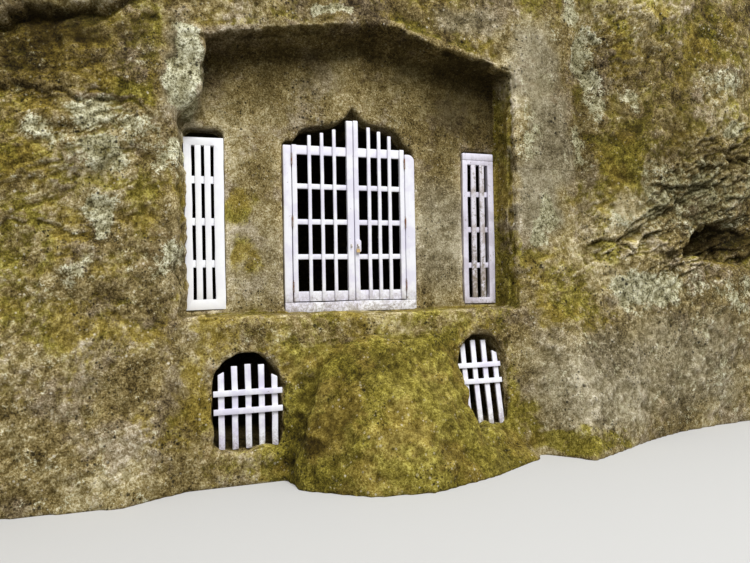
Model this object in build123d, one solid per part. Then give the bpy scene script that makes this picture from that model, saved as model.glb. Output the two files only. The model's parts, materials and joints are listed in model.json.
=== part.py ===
"""Cave chapel cut into a soft rock cliff, with a timber gate, two slit windows and two low cells.

Millimetres. The origin is at the bottom centre of the whole rock, +Z is up, and the carved
front faces -Y. Heights of the chapel are counted from its floor, those of the rock from the base.
"""
import os
from math import cos, exp, pi, radians, sin, sqrt

from build123d import *

os.makedirs("parts", exist_ok=True)

# Rock mass
ROCK_W = 9600            # left end to right end
ROCK_D = 5400            # foot of the mound to the rough back
ROCK_H = 5100            # base to the highest point of the crown
FLOOR_H = 1300           # chapel floor and ledge above the base
FACE_Y = -1500           # back wall of the carved recess, where the gate and windows sit
WALL_T = 350             # rock left standing between the recess and the chamber
CHAMBER_D = 2900         # front to back inside
CHAMBER_SPRING = 1750    # side walls, floor to the spring of the ceiling
CHAMBER_CROWN = 2150     # floor to the top of the shallow vault

# Carved recess
RECESS_HALF = 1480       # centre line to either side wall
RECESS_D = 300           # depth from the cliff face
RECESS_FLARE = 40        # how far the side walls open outwards
EAVES_H = 2160           # floor to the foot of the gable, at the back wall
EAVES_LIFT = 50          # how far the soffit rises to the cliff face at the eaves
APEX_X = 130             # apex of the gable off the centre line
APEX_H = 2370            # floor to the apex at the back wall
APEX_LIFT = 175          # how far the soffit rises to the cliff face at the apex

# Doorway with its ogee head
DOOR_JAMB_GAP = 3        # rock to timber
SHOULDER_H = 1530
SHOULDER_IN = 120        # width of each shoulder
HAUNCH_H = 1650          # top of the rounded haunch above the shoulder
HAUNCH_X = 385
SPRING_X = 210           # where the hollow curve of the ogee starts
SPRING_H = 1680
OGEE_X = 30
OGEE_H = 1880
HAUNCH_MID_L = (35, 42)  # middle of the left haunch's curve, in from the shoulder and down from its top
OGEE_MID_L = (-62, 58)   # middle of the hollow curve left of the tip, from the centre line and above SPRING_H
OGEE_MID_R = (112, 74)   # the same right of the tip
SPRING_MORE_R = (40, 22) # how much further out and up the worn right side springs
HAUNCH_MORE_R = 30       # how much higher the right haunch is
HAUNCH_MID_R = (24, 22)
SHOULDER_WORN_R = (20, 50)    # rounded right shoulder, outwards and down
HEAD_FOOT_H = 1440       # where the rock over the doorway is parted from the walls beside it

# Gate
GATE_PROUD = 12          # frame face in front of the rock wall
JAMB_D = 90
JAMB_L_X0, JAMB_L_W, JAMB_L_H = -615, 70, 1475
JAMB_R_X1, JAMB_R_W, JAMB_R_H = 615, 95, 1440
JAMB_R_ROUND = 60        # worn outer corner of the right jamb
THRESHOLD_D, THRESHOLD_H = 130, 90
LEAF_CLEAR = 8           # hinge side and bottom
MEET_X = 24              # centre of the gap between the leaves
MEET_GAP = 8
LEAF_T = 46              # stiles
RAIL_T = 24              # rails, behind the bars
BAR_T = 22               # bars, in front of the rails
BAR_W = 31
HINGE_STILE_W = 42
MEET_STILE_L_W = 58
MEET_STILE_R_W = 42
MEET_STILE_L_H = 1722
MEET_STILE_R_H = 1728
TOP_RAIL_H = 80
MID_RAIL_H = 46
BOTTOM_RAIL_H = 88
LEAF_TOP = 1482          # top of the top rail
MID_RAILS = (493, 804, 1119)          # centres of the middle rails
BAR_TOPS_L = (1570, 1598, 1636)       # hinge side to meeting side
BAR_TOPS_R = (1602, 1640, 1672)
BAR_BEVEL = 9            # weathered tops of the bars

# Hinges
HINGE_L = 90
HINGE_Z = (225, 800, 1350)
KNUCKLE_R = 6
PIN_R = 2.5
PIN_CLEAR = 0.3
FLAP_T = 2
FLAP_D = 30
KNUCKLE_GAP = 0.5
PIN_SET_OUT = 7          # knuckle axis in front of the timber face

# Lock
BOARD_W, BOARD_H, BOARD_T = 50, 118, 8
BOARD_CORNER = 14
LOCK_Z = 588
STAPLE_R, STAPLE_BAR_R = 11, 3        # middle of its bar, and half the thickness of the square bar
PADLOCK_W, PADLOCK_H, PADLOCK_T = 32, 30, 13
PADLOCK_ROUND = 4
SHACKLE_R, SHACKLE_BAR_R = 10, 2.6
SHACKLE_LEG = 15
SHACKLE_SIDES = 6
STAPLE_PLATE_W, STAPLE_PLATE_H, STAPLE_PLATE_T = 16, 34, 2
LOCK_CLEAR = 0.3
LOCK_INSET = 4           # board to the edge of the leaf

# Slit windows
SLIT_D = 60
SLIT_PROUD, CAP_PROUD = 6, 10     # frame and cap in front of the rock wall
SLIT_GAP = 4
SLIT_L = dict(x0=-1446, x1=-1122, z0=50, z1=1500, stiles=(62, 80), top=66, bottom=84)
SLIT_R = dict(x0=1115, x1=1445, z0=36, z1=1420, stiles=(50, 60), top=44, bottom=56)
SLIT_BAR_W = 50
SLIT_BAR_T = 22
SLIT_RAIL_T = 20
SLIT_RAILS_L = (436, 791, 1146)
SLIT_RAILS_R = (406, 750, 1093)
SLIT_RAIL_W = (62, 50)
CAP_H, CAP_ROUND = 68, 14
LINTEL_GAP_L, LINTEL_GAP_R = 88, 26

# Low cells and their grilles
CELL_FLOOR = 255         # above the base
CELL_D = 1350
GRILLE_IN = 85           # grille behind the face of the base
PICKET_W, PICKET_T = 47, 22
GRILLE_RAIL_W, GRILLE_RAIL_T = 45, 20
GRILLE_CLEAR = 0.3       # rail ends to the rock
PICKET_PITCH = 105
PICKET_CUT_W, PICKET_CUT_H = 0.45, 0.85       # sawn outer corners, as shares of the picket's width
# x is the centre of the cell, w and h its width and height; out_left, out_right and out_top are how
# far the worn mouth opens at the face; lean is how far the grille tips back, in degrees
CELL_L = dict(x=-988, w=540, h=750, out_left=25, out_right=15, out_top=30, lean=0)
CELL_R = dict(x=1097, w=430, h=815, out_left=15, out_right=105, out_top=25, lean=11)
PICKET_TOPS_L = (610, 657, 668, 659, 578)     # above the cell floor
PICKET_TOPS_R = (738, 764, 760, 662)
GRILLE_RAILS_L = (302, 446)                   # centres above the cell floor
GRILLE_RAILS_R = (389, 534)
GRILLE_SHIFT_R = 19                           # row of pickets off the middle of the right cell

# Faces of the rock, as offsets in front of the recess's back wall
LEDGE_ROUND = 60
LEDGE_LIP = 20           # ledge beyond the cliff face
BASE_FOOT = 520          # base between the flanks, at the ground
FOOT_EASE = 520          # width over which the foot comes out beside the cells
BOSS_X, BOSS_H = -1300, 1640
BOSS_SLOPE = 140         # how far the underside of the boss rises to its tip
BOSS_BITE = 40           # how far the boss runs into the flank

# Plans of the flanks: distance from the centre line, and in front of the recess's back wall
PLAN_L = ((RECESS_HALF, RECESS_D), (1900, 370), (2500, 430), (3200, 440), (3900, 380), (ROCK_W / 2, 180))
PLAN_R = ((RECESS_HALF, RECESS_D), (1860, 300), (2170, 300), (2270, 240), (2420, 390), (2800, 475),
          (3300, 480), (3900, 440), (ROCK_W / 2, 290))

# Sloping aprons at the foot of the flanks: foot is how far they stand out at the ground, run is how
# far that draws back by the outer end, and out is what they keep at floor level
APRON_L = dict(foot=760, run=330, out=50)
APRON_R = dict(foot=1110, run=1350, out=150)

# Upright shape of the block: rows of facets up the front, over the top and down the back
FRONT_ROWS = (0, FLOOR_H, 2000, 2650, 3400)
BROW_L, BROW_R = 3900, 4720           # top of the front at either end
BROW_BACK = 450
RIDGE_X = 480
TOP_L, TOP_R = 4650, 4880             # top of the block at either end, the ridge being ROCK_H
TOP_ROW = 2000                        # second row of the top, behind the recess's back wall
BACK_ROWS = (2900, 1450, 0)
BACK_SLOPE_L, BACK_SLOPE_R = 500, 900     # how far the top stops short of the back
CREST_X = -520                        # a further place along the block where its facets meet

# Rounded ends: where the front and back corners start, how far they are drawn in, and the share of
# the height and the hollow that the end face keeps
CORNER_X, CORNER_Y = 260, 1000
BACK_CORNER_X, BACK_CORNER_Y = 900, 1200
END_HEIGHT, END_HOLLOW = 0.68, 130

# Wear between the high places of the rough rock, in front, on top and behind
SWELL_PITCH = 1115       # high place to hollow
SWELL_TURN = 2.4         # shift of the pattern from one row to the next, in radians
SWELL_FRONT, SWELL_TOP, SWELL_BACK = 100, 180, 150
SWELL_FROM_L, SWELL_FROM_R = 1900, 2420
SWELL_FADE = 600         # width over which the wear of the front comes in

# Broad hollows and bosses of the front: x, height, half width, half height, and how far they stand out
FORMS = (
    (-2500, 3400, 650, 420, -150),
    (-2500, 2450, 500, 500, 50),
    (2700, 3500, 450, 600, -60),
    (3500, 2600, 700, 450, 90),
)

# The long cleft in the right flank, distance from the centre line and height above the floor
CLEFT_TIP = (3300, 520)
CLEFT_LIP = (3720, 740)
CLEFT_SILL = (3800, 410)
CLEFT_END = (1150, 260)
CLEFT_BACK = (-60, 330)   # its back at the tip and at the outer end, in front of the recess's back wall

# Mound: plan at the ground, then along its crest, from left to right; y is in front of the wall
MOUND_FOOT = ((-740, 380), (-660, 800), (-180, 1130), (280, 1200), (900, 1010), (1490, 730), (1690, 400))
MOUND_CREST = ((-330, 330), (-300, 400), (-60, 470), (180, 490), (480, 480), (640, 430), (700, 330))
MOUND_FULL = (1.3, 1.3, 1.3, 1.25, 1.0, 0.58, 0.5)    # over 1 its flank is full there, under 1 hollow
MOUND_TOP = 1060
MOUND_STEPS = (0, 0.15, 0.36, 0.64, 1)                # shares of the height at which its slope changes

BACK_Y = ROCK_D / 2
FRONT_Y = FACE_Y - RECESS_D
CHAMBER_Y0 = FACE_Y + WALL_T
CHAMBER_Y1 = CHAMBER_Y0 + CHAMBER_D
GATE_Y = FACE_Y - GATE_PROUD
SIDE_X = ROCK_W / 2
OPEN_Y = -ROCK_D          # clear of the rock, in front
CUT = 50                  # how far a cutting block runs past what it cuts
STATIONS_L = [-ROCK_W / 2, CORNER_X - ROCK_W / 2] + [-x for x, _ in PLAN_L[-2::-1]]
STATIONS_R = [x for x, _ in PLAN_R[:-1]] + [ROCK_W / 2 - CORNER_X, ROCK_W / 2]


def slab(x0, x1, y0, y1, z0, z1):
    """A block between two corners."""
    size = (x1 - x0, y1 - y0, z1 - z0)
    return Pos((x0 + x1) / 2, (y0 + y1) / 2, (z0 + z1) / 2) * Box(*size)


def facet(solid, a, b, c, inside):
    """Cleave a solid along the plane through three corners, keeping the side of one point."""
    a, b, c, inside = Vector(*a), Vector(*b), Vector(*c), Vector(*inside)
    normal = (b - a).cross(c - a)
    if normal.dot(inside - a) > 0:
        normal = -normal
    kept = solid.split(Plane(origin=a, z_dir=normal), keep=Keep.BOTTOM)
    return kept


def upright(profile, y0, y1):
    """Carry an X-Z outline, drawn on the XZ plane, from y0 back to y1."""
    return Pos(0, y1, 0) * extrude(Plane.XZ * profile, y1 - y0)


def save(name, *solids):
    """One STEP file for a node, which may hold several solids."""
    shape = solids[0] if len(solids) == 1 else Compound(children=list(solids))
    export_step(shape, f"parts/{name}.step")


def polygon(*points):
    """A face with straight sides."""
    return make_face(Polyline(*points, close=True))


def gable_outline(half, eaves, apex):
    """The five-sided outline of the recess at one depth, from the floor up."""
    return polygon((-half, FLOOR_H), (half, FLOOR_H), (half, FLOOR_H + eaves),
                   (APEX_X, FLOOR_H + apex), (-half, FLOOR_H + eaves))


def recess_space():
    """The flared hollow in front of the chapel's wall."""
    mouth = gable_outline(RECESS_HALF + RECESS_FLARE, EAVES_H + EAVES_LIFT, APEX_H + APEX_LIFT)
    back = Pos(0, FACE_Y, 0) * (Plane.XZ * gable_outline(RECESS_HALF, EAVES_H, APEX_H))
    front = Pos(0, FRONT_Y, 0) * (Plane.XZ * mouth)
    return loft([back, front], ruled=True) + upright(mouth, OPEN_Y, FRONT_Y)


def doorway_outline():
    """Straight jambs, square shoulders, round haunches and the hollow curves of the ogee."""
    half = JAMB_R_X1 + DOOR_JAMB_GAP
    inner = half - SHOULDER_IN
    left = [Line((-half, 0), (-half, SHOULDER_H)),
            Line((-half, SHOULDER_H), (-inner, SHOULDER_H)),
            ThreePointArc((-inner, SHOULDER_H), (-inner + HAUNCH_MID_L[0], HAUNCH_H - HAUNCH_MID_L[1]),
                          (-HAUNCH_X, HAUNCH_H)),
            Line((-HAUNCH_X, HAUNCH_H), (-SPRING_X, SPRING_H)),
            ThreePointArc((-SPRING_X, SPRING_H), (OGEE_MID_L[0], SPRING_H + OGEE_MID_L[1]), (OGEE_X, OGEE_H))]
    spring = (SPRING_X + SPRING_MORE_R[0], SPRING_H + SPRING_MORE_R[1])
    haunch = (HAUNCH_X, HAUNCH_H + HAUNCH_MORE_R)
    shoulder = (inner + SHOULDER_WORN_R[0], SHOULDER_H + SHOULDER_WORN_R[0])
    right = [ThreePointArc((OGEE_X, OGEE_H), (OGEE_MID_R[0], SPRING_H + OGEE_MID_R[1]), spring),
             Line(spring, haunch),
             ThreePointArc(haunch, (inner - HAUNCH_MID_R[0], HAUNCH_H - HAUNCH_MID_R[1]), shoulder),
             Line(shoulder, (half, SHOULDER_H - SHOULDER_WORN_R[1])),
             Line((half, SHOULDER_H - SHOULDER_WORN_R[1]), (half, 0)),
             Line((half, 0), (-half, 0))]
    return Pos(0, FLOOR_H) * make_face(Wire(left + right))


def arch_outline(x, width, height, foot):
    """A round-headed opening."""
    r = width / 2
    spring = foot + height - r
    return make_face([Line((x - r, foot), (x + r, foot)), Line((x + r, foot), (x + r, spring)),
                      ThreePointArc((x + r, spring), (x, spring + r), (x - r, spring)),
                      Line((x - r, spring), (x - r, foot))])


def slit_space(slit, lintel_gap):
    """The slot through the wall for one slit window."""
    return slab(slit["x0"] - SLIT_GAP, slit["x1"] + SLIT_GAP, FACE_Y - CUT, CHAMBER_Y0 + CUT,
                FLOOR_H + slit["z0"], FLOOR_H + slit["z1"] + lintel_gap)


def chamber_space():
    """The chamber with its shallow vault."""
    spring, crown = FLOOR_H + CHAMBER_SPRING, FLOOR_H + CHAMBER_CROWN
    section = make_face([Line((-RECESS_HALF, FLOOR_H), (RECESS_HALF, FLOOR_H)),
                         Line((RECESS_HALF, FLOOR_H), (RECESS_HALF, spring)),
                         ThreePointArc((RECESS_HALF, spring), (0, crown), (-RECESS_HALF, spring)),
                         Line((-RECESS_HALF, spring), (-RECESS_HALF, FLOOR_H))])
    return upright(section, CHAMBER_Y0, CHAMBER_Y1)


def base_face_y(z):
    """Where the battered face of the base stands at one height."""
    return FACE_Y - BASE_FOOT + (BASE_FOOT - RECESS_D - LEDGE_LIP) * z / FLOOR_H


def grille_y():
    """Front of the pickets' feet."""
    return base_face_y(CELL_FLOOR) + GRILLE_IN


def cell_space(cell):
    """A short round-headed cell under the chapel floor, with its worn mouth."""
    inner = arch_outline(cell["x"], cell["w"], cell["h"], CELL_FLOOR)
    wide = cell["w"] + cell["out_left"] + cell["out_right"]
    middle = cell["x"] + (cell["out_right"] - cell["out_left"]) / 2
    outer = arch_outline(middle, wide, cell["h"] + cell["out_top"], CELL_FLOOR)
    y0, y1 = FACE_Y - BASE_FOOT, grille_y() - GRILLE_RAIL_T
    mouth = loft([Pos(0, y0, 0) * (Plane.XZ * outer), Pos(0, y1, 0) * (Plane.XZ * inner)])
    return upright(outer, OPEN_Y, y0) + mouth + upright(inner, y1, FACE_Y - BASE_FOOT + CELL_D)


recess = recess_space()



def along(points, x):
    """Straight interpolation through a list of points, level beyond its ends."""
    for (x0, y0), (x1, y1) in zip(points, points[1:]):
        if x <= x1:
            return y0 + (y1 - y0) * max(0, x - x0) / (x1 - x0)
    return points[-1][1]


def swell(x, row):
    """Share of the greatest wear at one place along the rock, on one row of its facets."""
    return 0.5 - 0.5 * cos(pi * (x - RIDGE_X) / SWELL_PITCH + SWELL_TURN * row)


def front_out(x, z, row):
    """How far the front stands out from the recess's back wall."""
    across = abs(x) - RECESS_HALF
    if across <= 0:
        return RECESS_D if z else BASE_FOOT
    plan, apron, start = (PLAN_L, APRON_L, SWELL_FROM_L) if x < 0 else (PLAN_R, APRON_R, SWELL_FROM_R)
    coming_in = min(1, max(0, abs(x) - start) / SWELL_FADE)
    out = along(plan, abs(x)) - SWELL_FRONT * coming_in * swell(x, row)
    out += sum(far * exp(-((x - cx) / rx) ** 2 - ((z - cz) / rz) ** 2) for cx, cz, rx, rz, far in FORMS)
    if z > FLOOR_H:
        return out
    share = across / (SIDE_X - RECESS_HALF)
    slope = apron["foot"] - apron["run"] * share if z == 0 else RECESS_D + apron["out"] * (1 - share)
    ease = (BASE_FOOT if z == 0 else RECESS_D) + across * (apron["foot"] - BASE_FOOT) / FOOT_EASE
    return max(out, min(slope, ease))


def ring(x):
    """Corners of the rock's outline at one place: up the front, over the top and down the back."""
    brow = along(((-SIDE_X, BROW_L), (SIDE_X, BROW_R)), x)
    top = along(((-SIDE_X, TOP_L), (RIDGE_X, ROCK_H), (SIDE_X, TOP_R)), x)
    slope = along(((-SIDE_X, BACK_SLOPE_L), (SIDE_X, BACK_SLOPE_R)), x)
    corners = [(FACE_Y - front_out(x, z, row), z) for row, z in enumerate((*FRONT_ROWS, brow))]
    top_rows = (FACE_Y + BROW_BACK, FACE_Y + TOP_ROW, BACK_Y - slope)
    corners += [(y, top - SWELL_TOP * swell(x, row - 1)) for row, y in enumerate(top_rows)]
    corners += [(BACK_Y - SWELL_BACK * swell(x, row - 1), z) for row, z in enumerate(BACK_ROWS)]
    front_in = CORNER_Y * max(0, 1 - (SIDE_X - abs(x)) / CORNER_X)
    back_in = BACK_CORNER_Y * max(0, 1 - (SIDE_X - abs(x)) / BACK_CORNER_X)
    lowered = 1 - (1 - END_HEIGHT) * max(0, 1 - (SIDE_X - abs(x)) / CORNER_X)
    shares = [(y - FRONT_Y) / (BACK_Y - FRONT_Y) for y, _ in corners]
    return [Vector(x, y + front_in * (1 - share) - back_in * share, z * lowered)
            for (y, z), share in zip(corners, shares)]


def net(rings, end_faces):
    """A closed solid over several rings of corners, with three-cornered facets from each to the next."""
    faces = list(end_faces)
    for near, far in zip(rings, rings[1:]):
        for a, b, c, d in zip(near, near[1:] + near[:1], far[1:] + far[:1], far):
            faces += [polygon(a, b, c), polygon(a, c, d)]
    return Solid(Shell(faces))


def rough_end(corners):
    """The end of the block, hollowed towards its middle."""
    middle = sum(corners, Vector()) / len(corners)
    middle.X *= 1 - END_HOLLOW / SIDE_X
    return [polygon(a, b, middle) for a, b in zip(corners, corners[1:] + corners[:1])]


def rough_rock(stations):
    """A closed block of rock between the first and the last of some places along X."""
    rings = [ring(x) for x in stations]
    ends = []
    for corners in (rings[0], rings[-1]):
        ends += rough_end(corners) if abs(corners[0].X) == SIDE_X else [polygon(*corners)]
    return net(rings, ends)


cliff_left = rough_rock(STATIONS_L) - recess
cliff_right = rough_rock(STATIONS_R) - recess
middle_rock = rough_rock((-RECESS_HALF, CREST_X, RIDGE_X, RECESS_HALF))

# Overhanging boss that fills the upper left corner of the recess
boss_x0 = -RECESS_HALF - RECESS_FLARE - BOSS_BITE
boss_tip = FLOOR_H + BOSS_H + BOSS_SLOPE
boss = slab(boss_x0, BOSS_X, FRONT_Y, FACE_Y, FLOOR_H + BOSS_H, FLOOR_H + EAVES_H + EAVES_LIFT)
boss = facet(boss, (BOSS_X, FRONT_Y, boss_tip), (BOSS_X, FACE_Y, boss_tip),
             (-RECESS_HALF, FACE_Y, FLOOR_H + BOSS_H), (-RECESS_HALF, FACE_Y, FLOOR_H + EAVES_H))
cliff_left = cliff_left + boss

# Right cliff: the long cleft with its dark hollow
cleft_end = SIDE_X + CUT
cleft = polygon(CLEFT_TIP, CLEFT_LIP, (cleft_end, CLEFT_END[0]), (cleft_end, CLEFT_END[1]), CLEFT_SILL)
hollow = upright(Pos(0, FLOOR_H) * cleft, OPEN_Y, FACE_Y - min(CLEFT_BACK))
tip_y, end_y = (FACE_Y - out for out in CLEFT_BACK)
hollow = facet(hollow, (CLEFT_TIP[0], tip_y, 0), (CLEFT_TIP[0], tip_y, ROCK_H), (SIDE_X, end_y, 0),
               (SIDE_X, OPEN_Y, FLOOR_H))
cliff_right = cliff_right - hollow

# Crown over the recess, and the vaulted rock over the chamber
hood_z = FLOOR_H + EAVES_H - CUT
crown_rock = (middle_rock & slab(-RECESS_HALF, RECESS_HALF, FRONT_Y, FACE_Y, hood_z, ROCK_H)) - recess - boss
vault_rock = middle_rock & slab(-RECESS_HALF, RECESS_HALF, FACE_Y, CHAMBER_Y1, FLOOR_H + CHAMBER_SPRING, ROCK_H)
wall_strip = slab(-RECESS_HALF, RECESS_HALF, FACE_Y, CHAMBER_Y0, FLOOR_H, FLOOR_H + CHAMBER_CROWN)
vault_rock = vault_rock - wall_strip - chamber_space()
back_rock = middle_rock & slab(-RECESS_HALF, RECESS_HALF, CHAMBER_Y1, BACK_Y, 0, ROCK_H)

# Front wall, split beside and over the doorway
door_half = JAMB_R_X1 + DOOR_JAMB_GAP
wall_top = FLOOR_H + CHAMBER_CROWN
doorway = upright(doorway_outline(), FACE_Y - CUT, CHAMBER_Y0 + CUT)
wall_left = slab(-RECESS_HALF, -door_half, FACE_Y, CHAMBER_Y0, FLOOR_H, wall_top) - slit_space(
    SLIT_L, LINTEL_GAP_L)
wall_right = slab(door_half, RECESS_HALF, FACE_Y, CHAMBER_Y0, FLOOR_H, wall_top) - slit_space(
    SLIT_R, LINTEL_GAP_R + CAP_H)
wall_head = slab(-door_half, door_half, FACE_Y, CHAMBER_Y0, FLOOR_H + HEAD_FOOT_H, wall_top) - doorway

# Base under the floor: two cells and the solid middle, with a rounded ledge
BASE_L_X, BASE_R_X = -620, 800


def make_base(x0, x1):
    """One part of the base, with the ledge at its top and a battered face."""
    rock = slab(x0, x1, FACE_Y - BASE_FOOT, CHAMBER_Y1, 0, FLOOR_H)
    rock = facet(rock, (x0, FACE_Y - BASE_FOOT, 0), (x1, FACE_Y - BASE_FOOT, 0),
                 (x0, FRONT_Y - LEDGE_LIP, FLOOR_H), (x0, 0, 0))
    front_edges = rock.edges().filter_by(Axis.X).group_by(Axis.Z)[-1].sort_by(Axis.Y)
    return fillet(front_edges[0], LEDGE_ROUND)


base_left = make_base(-RECESS_HALF, BASE_L_X) - cell_space(CELL_L)
base_centre = make_base(BASE_L_X, BASE_R_X)
base_right = make_base(BASE_R_X, RECESS_HALF) - cell_space(CELL_R)

# Mound in front of the middle: its plan at the ground drawn in, step by step, to its crest


def mound_ring(share):
    """The mound's outline at one share of its height."""
    return [Vector(fx + (cx - fx) * share ** full, FACE_Y - fy - (cy - fy) * share ** full, share * MOUND_TOP)
            for (fx, fy), (cx, cy), full in zip(MOUND_FOOT, MOUND_CREST, MOUND_FULL)]


rings = [mound_ring(share) for share in MOUND_STEPS]
mound = net(rings, (polygon(*rings[0]), polygon(*rings[-1])))
for block in (base_left, base_centre, base_right, cell_space(CELL_L), cell_space(CELL_R), cliff_right):
    mound = mound - block
mound = max(mound.solids(), key=lambda s: s.volume)

# Gate frame
floor = FLOOR_H
jamb_foot = floor + THRESHOLD_H
jamb_left = slab(JAMB_L_X0, JAMB_L_X0 + JAMB_L_W, GATE_Y, GATE_Y + JAMB_D, jamb_foot, floor + JAMB_L_H)
jamb_right = slab(JAMB_R_X1 - JAMB_R_W, JAMB_R_X1, GATE_Y, GATE_Y + JAMB_D, jamb_foot, floor + JAMB_R_H)
outer_top = jamb_right.edges().filter_by(Axis.Y).sort_by(lambda e: e.center().X + e.center().Z)[-1]
jamb_right = fillet(outer_top, JAMB_R_ROUND)
threshold = slab(JAMB_L_X0, JAMB_R_X1, GATE_Y, GATE_Y + THRESHOLD_D, floor, jamb_foot)

# Leaves
LEAF_BOTTOM = jamb_foot + LEAF_CLEAR
PIN_Y = GATE_Y - PIN_SET_OUT
BAR_Y0 = GATE_Y
RAIL_Y0 = GATE_Y + BAR_T


def bevelled_bar(x, width, top):
    """A bar from the bottom rail's foot to its own height, with weathered upper edges."""
    bar = slab(x - width / 2, x + width / 2, BAR_Y0, BAR_Y0 + BAR_T, LEAF_BOTTOM, floor + top)
    edges = bar.faces().sort_by(Axis.Z)[-1].edges().filter_by(Axis.X)
    return chamfer(edges[0], BAR_BEVEL)


def make_leaf(hinge_x, meet_x, meet_w, meet_h, bar_tops):
    """Stiles, rails and bars of one leaf; hinge_x and meet_x are its outer edges."""
    way = 1 if meet_x > hinge_x else -1
    inner0, inner1 = hinge_x + way * HINGE_STILE_W, meet_x - way * meet_w
    hinge_stile = slab(min(hinge_x, inner0), max(hinge_x, inner0), GATE_Y, GATE_Y + LEAF_T,
                       LEAF_BOTTOM, floor + LEAF_TOP)
    meet_stile = slab(min(meet_x, inner1), max(meet_x, inner1), GATE_Y, GATE_Y + LEAF_T,
                      LEAF_BOTTOM, floor + meet_h)
    top_edges = meet_stile.faces().sort_by(Axis.Z)[-1].edges().filter_by(Axis.X)
    meet_stile = chamfer(top_edges, BAR_BEVEL)
    spans = [(LEAF_BOTTOM, LEAF_BOTTOM + BOTTOM_RAIL_H), (floor + LEAF_TOP - TOP_RAIL_H, floor + LEAF_TOP)]
    spans += [(floor + z - MID_RAIL_H / 2, floor + z + MID_RAIL_H / 2) for z in MID_RAILS]
    lo, hi = min(inner0, inner1), max(inner0, inner1)
    rails = [slab(lo, hi, RAIL_Y0, RAIL_Y0 + RAIL_T, z0, z1) for z0, z1 in spans]
    step = (inner1 - inner0) / (len(bar_tops) + 1)
    bars = [bevelled_bar(inner0 + step * (i + 1), BAR_W, top) for i, top in enumerate(bar_tops)]
    return hinge_stile, meet_stile, rails, bars


HINGE_X_L = JAMB_L_X0 + JAMB_L_W + LEAF_CLEAR
HINGE_X_R = JAMB_R_X1 - JAMB_R_W - LEAF_CLEAR
leaf_l = make_leaf(HINGE_X_L, MEET_X - MEET_GAP / 2, MEET_STILE_L_W, MEET_STILE_L_H, BAR_TOPS_L)
leaf_r = make_leaf(HINGE_X_R, MEET_X + MEET_GAP / 2, MEET_STILE_R_W, MEET_STILE_R_H, BAR_TOPS_R)


# Hinges: the jamb carries the outer knuckles and the pin, the leaf the middle knuckle
def make_hinge(pin_x, way, z):
    """One butt hinge; way is +1 where the leaf lies towards +X."""
    half_gap = LEAF_CLEAR / 2
    third = HINGE_L / 3
    z0 = floor + z - HINGE_L / 2
    spot = Pos(pin_x, PIN_Y, 0)
    pin = spot * Pos(0, 0, z0 + HINGE_L / 2) * Cylinder(PIN_R, HINGE_L)

    def flap(sign, tabs):
        a, b = pin_x + sign * half_gap, pin_x + sign * (half_gap - FLAP_T)
        plate = slab(min(a, b), max(a, b), GATE_Y, GATE_Y + FLAP_D, z0, z0 + HINGE_L)
        for t0, t1 in tabs:
            plate += slab(min(a, b), max(a, b), PIN_Y, GATE_Y, t0, t1)
        return plate

    ends = [(z0, z0 + third - KNUCKLE_GAP), (z0 + 2 * third + KNUCKLE_GAP, z0 + HINGE_L)]
    middle = [(z0 + third + KNUCKLE_GAP, z0 + 2 * third - KNUCKLE_GAP)]
    fixed = pin + flap(-way, ends)
    for t0, t1 in ends:
        fixed += spot * Pos(0, 0, (t0 + t1) / 2) * Cylinder(KNUCKLE_R, t1 - t0)
    moving = flap(way, middle)
    t0, t1 = middle[0]
    moving += spot * Pos(0, 0, (t0 + t1) / 2) * Cylinder(KNUCKLE_R, t1 - t0)
    moving -= spot * Pos(0, 0, (t0 + t1) / 2) * Cylinder(PIN_R + PIN_CLEAR, t1 - t0 + 2)
    return fixed, moving


PIN_X_L = HINGE_X_L - LEAF_CLEAR / 2
PIN_X_R = HINGE_X_R + LEAF_CLEAR / 2
hinges_l = [make_hinge(PIN_X_L, 1, z) for z in HINGE_Z]
hinges_r = [make_hinge(PIN_X_R, -1, z) for z in HINGE_Z]

# Lock: a board on the right leaf, a staple on each leaf and a padlock in the right one
lock_z = floor + LOCK_Z
board_x0 = MEET_X + MEET_GAP / 2 + LOCK_INSET
board_y = GATE_Y - BOARD_T
lock_x = board_x0 + (PADLOCK_W + LOCK_INSET) / 2
lock_board = slab(board_x0, board_x0 + BOARD_W, board_y, GATE_Y, lock_z - BOARD_H / 2, lock_z + BOARD_H / 2)
lock_board = chamfer(lock_board.edges().filter_by(Axis.Y), BOARD_CORNER)


def make_staple(x, y_face, z):
    """A forged staple of square bar standing out of the timber, open across X, on its small plate."""
    y = y_face - STAPLE_R
    ring = Plane(origin=(x - STAPLE_BAR_R, y, z), x_dir=(0, 1, 0), z_dir=(1, 0, 0)) * (
        Circle(STAPLE_R + STAPLE_BAR_R) - Circle(STAPLE_R - STAPLE_BAR_R))
    ring = extrude(ring, 2 * STAPLE_BAR_R)
    plate = slab(x - STAPLE_PLATE_W / 2, x + STAPLE_PLATE_W / 2, y_face - STAPLE_PLATE_T, y_face,
                 z - STAPLE_PLATE_H / 2, z + STAPLE_PLATE_H / 2)
    reach = STAPLE_R + STAPLE_BAR_R
    return (ring & slab(x - reach, x + reach, y - reach, y_face, z - reach, z + reach)) + plate


staple_left = make_staple(MEET_X - MEET_GAP / 2 - MEET_STILE_L_W / 2, GATE_Y, lock_z)
staple_right = make_staple(lock_x, board_y, lock_z)
shackle_y = board_y - STAPLE_R
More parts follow.
